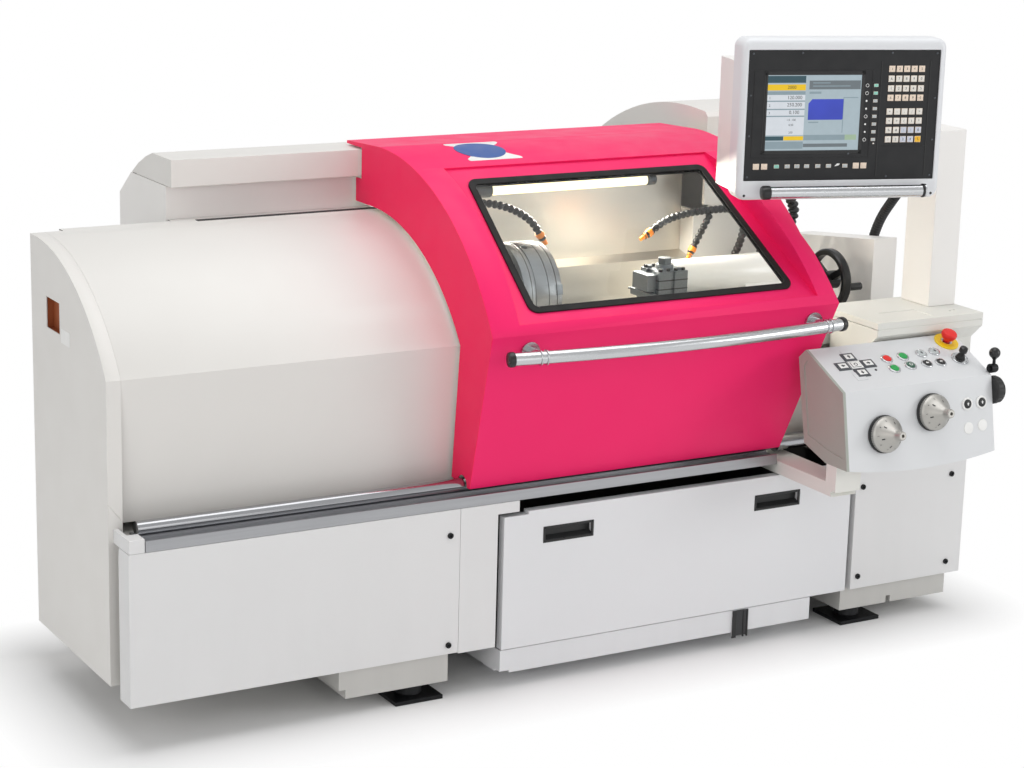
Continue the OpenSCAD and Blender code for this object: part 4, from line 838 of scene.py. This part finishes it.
def console():
    """The console's keys, buttons, knobs and handwheels."""
    g = Make("key_cross", "machine", ["keygrey", "white", "scr_ink"], "console_housing")
    for (x, s), turn in zip(((649, 93.5), (648, 124), (611, 93.5), (687, 93.5), (649, 63)), (0, 0, 90, -90, 180)):
        at = top(x, s)
        middle = (x, s) == (649, 93.5)
        g.box((-18.4, 18.4), (-14.8, 14.8), (-0.5, 2.1), 1 if middle else 0, at, 1.0)
        g.box((-12.5, 12.5), (-9.5, 9.5), (1.8, 3.3), 1, at, 0.8)
        if middle:
            g.lathe([(3.6, -0.1), (3.6, 0.2), (5.4, 0.2), (5.4, -0.1)], 2, top(x, s, 3.3), 20)
        else:
            arrow(g, spin(top(x, s, 3.3), turn), 2)
    g.end()

    g = Make("button_bezels", "machine", ["tube", "matte_black", "white", "scr_ink", "key_dim"], "console_housing")
    for x, s in ((750, 102), (748, 64), (801, 104), (800, 68)):
        g.lathe([(16.2, -0.5), (16.2, 1.6), (15.2, 3.1), (12.4, 3.6), (11.3, 2.8), (11.3, 0.5)], 0, top(x, s), 44)
    for i, (x, s) in enumerate(((860, 107), (851, 68), (902, 109), (893, 67))):
        g.lathe([(15.2, -0.5), (15.2, 2.0), (14.2, 3.0), (12.2, 3.3), (11.4, 2.6), (11.2, 2.4)], 0, top(x, s), 44)
        g.lathe([(11.3, 2.0), (11.0, 3.6), (9.8, 4.2), (0, 4.5)], 1 if i % 2 else 4, top(x, s), 36)
        arrow(g, spin(top(x, s, 4.4), (0, 90, 180, -90)[i]), 2 if i % 2 else 3, 0.8)
    g.lathe([(3.2, -0.3), (3.2, 0.9), (2.2, 1.7), (0, 2.0)], 3, top(694, 68), 20)
    for x, z in ((924, 641), (969, 641)):
        g.lathe([(16.0, -0.5), (16.0, 2.8), (14.8, 3.8), (11.8, 3.8), (11.2, 2.9), (10.9, 2.6)], 2, front(x, z), 44)
        g.lathe([(11.2, 2.4), (10.6, 4.6), (9.0, 5.4), (0, 5.6)], 1, front(x, z), 36)
        arrow(g, front(x, z, 5.5), 2, 0.7)
    for x, z in ((926, 582), (970, 585)):
        g.lathe([(14.3, -0.5), (14.3, 1.0), (13.3, 1.9), (0, 2.2)], 2, front(x, z), 44)
    g.end()

    for name, body, x, s, mat in (("button_red", "push_red", 750, 102, "red"),
                                  ("button_green_1", "push_green_1", 748, 64, "green"),
                                  ("button_green_2", "push_green_2", 801, 104, "green"),
                                  ("button_dark", "push_dark", 800, 68, "dark_green")):
        g = Make(name + "_cap", body, [mat, "white"], name)
        g.lathe([(0, -4.4)] + dome(10.9, -4.4, 5.1), 0, top(x, s), 40)
        if name == "button_dark":
            g.lathe([(3.2, 5.2), (3.2, 5.9), (4.8, 5.7), (4.8, 5.0)], 1, top(x, s), 24)
        g.end([name])

    g = Make("estop_plate", "machine", ["yellow", "tube"], "estop_button")
    g.lathe([(31.5, -0.5), (31.5, 2.6), (30.3, 3.4), (14, 3.4)], 0, top(962, 140), 60)
    g.lathe([(14.2, 2.8), (14.2, 4.2), (13.2, 4.8), (8.6, 4.8), (8.6, 2.8)], 1, top(962, 140), 40)
    g.end()
    g = Make("estop_mushroom", "estop", ["red"], "estop_button")
    g.lathe([(0, -4.4), (7.9, -4.4), (7.9, 11.5), (14.6, 12.2), (18.6, 18.5), (19.9, 21.5), (19.9, 25.5),
             (19.0, 28.2), (16.8, 30.3), (11, 31.4), (0, 31.8)], 0, top(962, 140), 64)
    g.end(["estop_button"])

    g = Make("joystick_plate", "machine", ["tube", "matte_black"], "console_housing")
    g.lathe([(22.6, -0.5), (22.6, 2.4), (21.4, 3.4), (15.5, 3.6), (13.6, 3.2)], 0, top(957, 72), 48)
    for k in range(8):
        a = math.radians(45 * k + 22)
        g.lathe([(0, 3.8), (1.1, 3.8), (1.1, 3.0)], 1,
                top(957, 72) @ Matrix.Translation((18.3 * math.cos(a), 18.3 * math.sin(a), 0)), 10)
    g.end()
    g = Make("joystick_stick", "joystick_body", ["rubber", "black"], "joystick")
    prof = [(0, -12.0), (7, -10.2), (11.2, -5.0), (12.3, 0), (11.4, 4.4)]
    for k in range(4):
        prof += [(10.6 - 1.3 * k, 5.0 + 3.4 * k), (11.4 - 1.4 * k, 6.4 + 3.4 * k), (10.0 - 1.3 * k, 7.8 + 3.4 * k)]
    g.lathe(prof + [(6, 19.5)], 0, top(957, 72), 40)
    g.lathe([(5.6, 18.5), (8.8, 20.2), (10.6, 23.5), (10.6, 30.5), (9.6, 34), (6.2, 36.2), (0, 36.8)],
            1, top(957, 72), 40)
    g.end(["joystick"])

    g = Make("lever_arm", "ball_lever_body", ["dark", "black"], "ball_lever")
    at = to_x(1005, -596, 718)
    g.lathe([(0, -5.4), (5.9, -5.4), (5.9, 0.4), (11.4, 0.5), (11.4, 16), (10, 20.5), (7.5, 22), (0, 22.2)], 0, at, 40)
    ball = [math.radians(a) for a in range(-60, 76, 15)]
    at = Matrix.Translation((1018, -596, 718))
    g.lathe([(4.4, 6), (3.6, 26), (0, 26)], 0, at, 24)
    g.lathe([(0, 22), (5.2, 22.6), (6.6, 25)] + [(14.2 * math.cos(a), 38 + 14.2 * math.sin(a)) for a in ball]
            + [(0, 52.2)], 1, at, 40)
    g.end(["ball_lever"])

    g = Make("side_knob_grip", "side_knob_body", ["matte_black", "tube"], "side_knob", 26)
    at = to_x(1005, -600, 664)
    g.lathe([(0, -5.4), (5.9, -5.4), (5.9, 0.5), (29.6, 0.5), (34.2, 3.6), (34.6, 5)], 0, at, 72)
    # knurling: three points out, three points in
    rings = []
    for h, r in ((5, 34.6), (8, 34.9), (19, 34.9), (22, 34.3), (25.5, 32)):
        pairs = enumerate(zip(circle(r, h, 72), circle(r - 1.5, h, 72)))
        rings.append(g.add([p if (k // 3) % 2 else q for k, (p, q) in pairs], [], 0, at)[0])
    g.skin(rings)
    g.lathe([(32.5, 24.8), (29, 28.4), (22, 29.6), (10, 29.9), (0, 29.9)], 0, at, 72)
    g.lathe([(8, 29.4), (8, 30.1), (0, 30.3)], 1, at, 32)
    g.end(["side_knob"])

    for n, (x, z) in enumerate(((663, 596), (812, 633)), 1):
        g = Make("crank_%d_wheel" % n, "crank_%d" % n, ["crank", "matte_black", "scr_ink"], "handwheel_%d" % n, 28)
        at = front(x, z)
        g.lathe([(0, -5.4), (5.9, -5.4), (5.9, 0.5), (40, 0.5), (45.4, 1.2), (46, 2.4), (46, 8.4), (45, 9.4),
                 (20, 9.4)], 1, at, 72)
        g.lathe([(20, 9.2), (43.2, 9.2), (44, 10.4), (44, 19.2), (43.0, 20.6), (40.5, 24.4), (39.0, 25.4),
                 (26, 40.6), (15.6, 55.2), (13.2, 58.8), (12.2, 61), (11.4, 73), (10.4, 75.8), (8.6, 76.8),
                 (4.2, 76.8), (3.8, 75.5), (3.6, 68), (0, 68)], 0, at, 96)
        for k in range(48):
            half, h = (1.6, 12.4) if k % 4 else (2.8, 13.6)
            g.box((-0.5, 0.18), (-0.4, 0.4), (-half, half), 2, spin(at, 7.5 * k) @ Matrix.Translation((44.0, 0, h)))
        # slots and digits lie on the cone
        lean = Matrix.Rotation(math.atan2(29.8, 23.4), 4, "Y")
        for k in range(6):
            g.box((-4.4, 4.4), (-1.7, 1.7), (-0.8, 0.3), 2,
                  spin(at, 60 * k + 15) @ Matrix.Translation((29.0, 0, 37.4)) @ lean, 0.3, 1)
        for k in range(10):
            lie = spin(at, 36 * k) @ Matrix.Translation((36.4, 0, 28.9)) @ lean
            g.text(str(k), 6.6, 2, spin(lie, 90), 0.35)
        g.end(["handwheel_%d" % n])


# ---------------------------------------------------------------- covers and hood
def covers():
    """Small pieces on the covers, the hood, the drawer and the tank."""
    g = Make("cap_lining", "machine", ["rust"], "left_end_cap")
    g.box((-1142, -1139), (18, 117), (862, 947), 0, ID, 0.8, 1)
    for y, z in (((18, 22), (862, 947)), ((113, 117), (862, 947)),
                 ((22, 113), (862, 866)), ((22, 113), (943, 947))):
        g.box((-1156, -1142), y, z)
    g.end()
    g = Make("blank_plate", "machine", ["white"], "left_end_cap")
    g.box((-1160.7, -1160.0), (-43, 14), (853, 886), 0, ID, 0.2, 1)
    g.end()

    # round blue disc on a white patch, bent to the hood's curve
    g = Make("hood_disc", "hood", ["white", "blue"], "hood_shell")

    def arc(x, s, r):
        a = math.radians(97.8) - s / ARC_R
        return (x, ARC_Y + r * math.cos(a), ARC_Z + r * math.sin(a))

    def sheet_of(outline, r, m):
        """A bent sheet: rings of its outline shrinking to the middle, and a thin rim."""
        n, rings = len(outline), 5
        mx, my = (sum(p[i] for p in outline) / n for i in (0, 1))
        scales = [1 - j / rings for j in range(rings)]
        pts = [arc(mx + (x - mx) * k, my + (y - my) * k, r) for k in scales for x, y in outline] + [arc(mx, my, r)]
        nxt = [(i + 1) % n for i in range(n)]
        fcs = [(j * n + i, j * n + nxt[i], (j + 1) * n + nxt[i], (j + 1) * n + i)
               for j in range(rings - 1) for i in range(n)]
        fcs += [((rings - 1) * n + i, (rings - 1) * n + nxt[i], rings * n) for i in range(n)]
        b = len(pts)
        fcs += [(i, b + i, b + nxt[i], nxt[i]) for i in range(n)]
        g.add(pts + [arc(x, y, r - 0.6) for x, y in outline], fcs, m)

    sheet_of([(-70 + x, y) for x, y in rounded((-73, 73), (-72, 72), 5, 4)], ARC_R + 0.7, 0)
    sheet_of([(-79 + x, y * 62 / 64) for x, y, _ in circle(64, 0, 64)], ARC_R + 0.9, 1)
    bmesh.ops.recalc_face_normals(g.bm, faces=g.bm.faces)
    g.end()

    # black end caps and clamping rings of the hood's handle, a tube bent to an arc
    g = Make("hood_handle_ends", "hood", ["black", "tube"], "hood_handle")
    mid, end_y, z, half_chord, sag = 179.0, -469.6, 836.0, 459, 34
    bend = (half_chord ** 2 + sag ** 2) / (2 * sag)
    up = Vector((0, 0, 1))
    half = math.asin(half_chord / bend)
    for s in (-1, 1):
        d = Vector((s * math.cos(half), math.sin(half), 0))
        at = axes((mid + s * half_chord, end_y, z), up, d.cross(up) * -1, d)
        g.lathe([(15.2, -6), (17.2, -5), (17.6, -3), (17.6, 5), (16, 8), (11, 9.6), (0, 10)], 0, at, 44)
    for x in (-205, 590):
        a = math.asin((x - mid) / bend)
        p = Vector((mid, end_y + bend - sag, z)) + Vector((math.sin(a), -math.cos(a), 0)) * bend
        d = Vector((math.cos(a), math.sin(a), 0))
        for off in (-9, 6):
            at = axes(p + d * off, up, d.cross(up) * -1, d)
            g.lathe([(15.1, 0), (17.6, 0.4), (18.2, 1.2), (18.2, 2.6), (17.6, 3.4), (15.1, 3.8)], 1, at, 44)
    g.end()

    # black seal strip above the headstock cover, and the fillers beside it
    g = Make("cover_seal", "machine", ["rubber", "cover"], "headstock_cover")
    g.box((-744, -262), (213.4, 246), (1050, 1064.2), 0, ID, 1.0, 1)
    g.box((-1080, -746), (213.4, 246), (1050, 1064.6), 1, ID, 1.0, 1)
    g.box((-798, -264), (248, 285.6), (1050, 1060.5), 1, ID, 0.8, 1)
    g.end()
    # framed finger pulls of the drawer
    g = Make("drawer_pulls", "drawer", ["black", "matte_black"], "chip_drawer")
    for x0, x1 in ((-116, 17), (490, 622)):
        g.box((x0 + 0.3, x1 - 0.3), (-345, -342.3), (355.3, 388.7), 1)
        g.prism([(-345, 355.5), (-358, 355.5), (-358, 359), (-345, 366)], x0 + 0.5, x1 - 0.5, 1,
                to_x(0, 0, 0))
        for x, z in (((x0 - 3, x0 + 3), (352, 392)), ((x1 - 3, x1 + 3), (352, 392)),
                     ((x0, x1), (352, 358)), ((x0, x1), (386, 392))):
            g.box(x, (-361.4, -357), z, 0, ID, 0.6, 1)
    g.end()
    # plates seen above the drawer: partly dark plates that are there, partly a painted shade that makes the gap behind
    # read dark
    g = Make("gap_plates_and_shade", "machine", ["matte_black", "plate"], "machine_bed")
    g.box((-224, 236), (-254, -251), (440, 500), 0, ID, 0.4, 1)
    g.box((238, 545), (-262, -259), (440, 500), 1, ID, 0.4, 1)
    g.end()
    g = Make("drain_fitting", "machine", ["plate", "black"], "coolant_tank")
    g.box((438, 485), (-359.8, -355.5), (30, 97), 0, ID, 0.6, 1)
    for x in ((438, 450), (470, 474), (481, 485)):
        g.box(x, (-361.6, -357), (26, 97), 1, ID, 0.6, 1)
    g.end()


def work_space():
    """The tube lamp, the chuck's rings and screws, and the tool post's lines and screws."""
    g = Make("lamp_tube", "machine", ["lamp", "steel_screw", "tube"], "lamp", 40)
    at = to_x(0, 225, 1090)
    g.lathe([(0, 44), (13.5, 44), (13.5, 508), (0, 508)], 0, at, 32)
    for a, b, c in ((-60, 44, 18), (508, 536, 15)):
        g.lathe([(0, a), (c - 2, a), (c, a + 3), (c, b - 3), (c - 1.5, b), (0, b)], 1, at, 32)
    for x in (-40, 522):
        g.box((x, x + 10), (225, 285), (1084, 1100), 2, ID, 1.0, 1)
    g.end(["lamp"])
    g = Make("chuck_screws", "spindle_group", ["steel_screw", "matte_black"], "chuck_body")
    for a in (168, 48, 288):
        for turn, r in ((38, 88), (-38, 88), (60, 58)):
            at = spin(to_x(45, SPINDLE_Y, SPINDLE_Z), a + turn) @ Matrix.Translation((r, 0, 0))
            g.lathe([(8.2, -0.4), (8.2, 0.3), (7.0, 0.6), (4.2, 0.6), (4.0, 0.2)], 0, at, 28)
            g.lathe([(0, 0.3), (4.2, 0.3), (4.2, -0.3)], 1, at, 6)
    for x0, x1, r in ((-40, -38.5, 125.3), (6, 8, 125.3), (28, 30.2, 125.2)):
        g.lathe([(124, x0), (r, x0), (r, x1), (124, x1)], 1, to_x(0, SPINDLE_Y, SPINDLE_Z), 128)
    g.end()
    # lines and screws of the tool post
    g = Make("post_details", "cross", ["matte_black", "steel_screw"], "tool_post")
    for z in (887, 909):
        g.box((302.6, 387.4), (-170.4, -168), (z, z + 3), 0)
        g.box((302.6, 305), (-170.4, -86), (z, z + 3), 0)
    for x in (312, 334, 356, 378):
        for y in (-162, -94):
            g.lathe([(0, 939), (4.6, 939), (5.2, 938.2), (5.2, 931)], 0, Matrix.Translation((x, y, 0)), 6)
    g.end()


frame_ring()
display_panel()
console()
covers()
work_space()
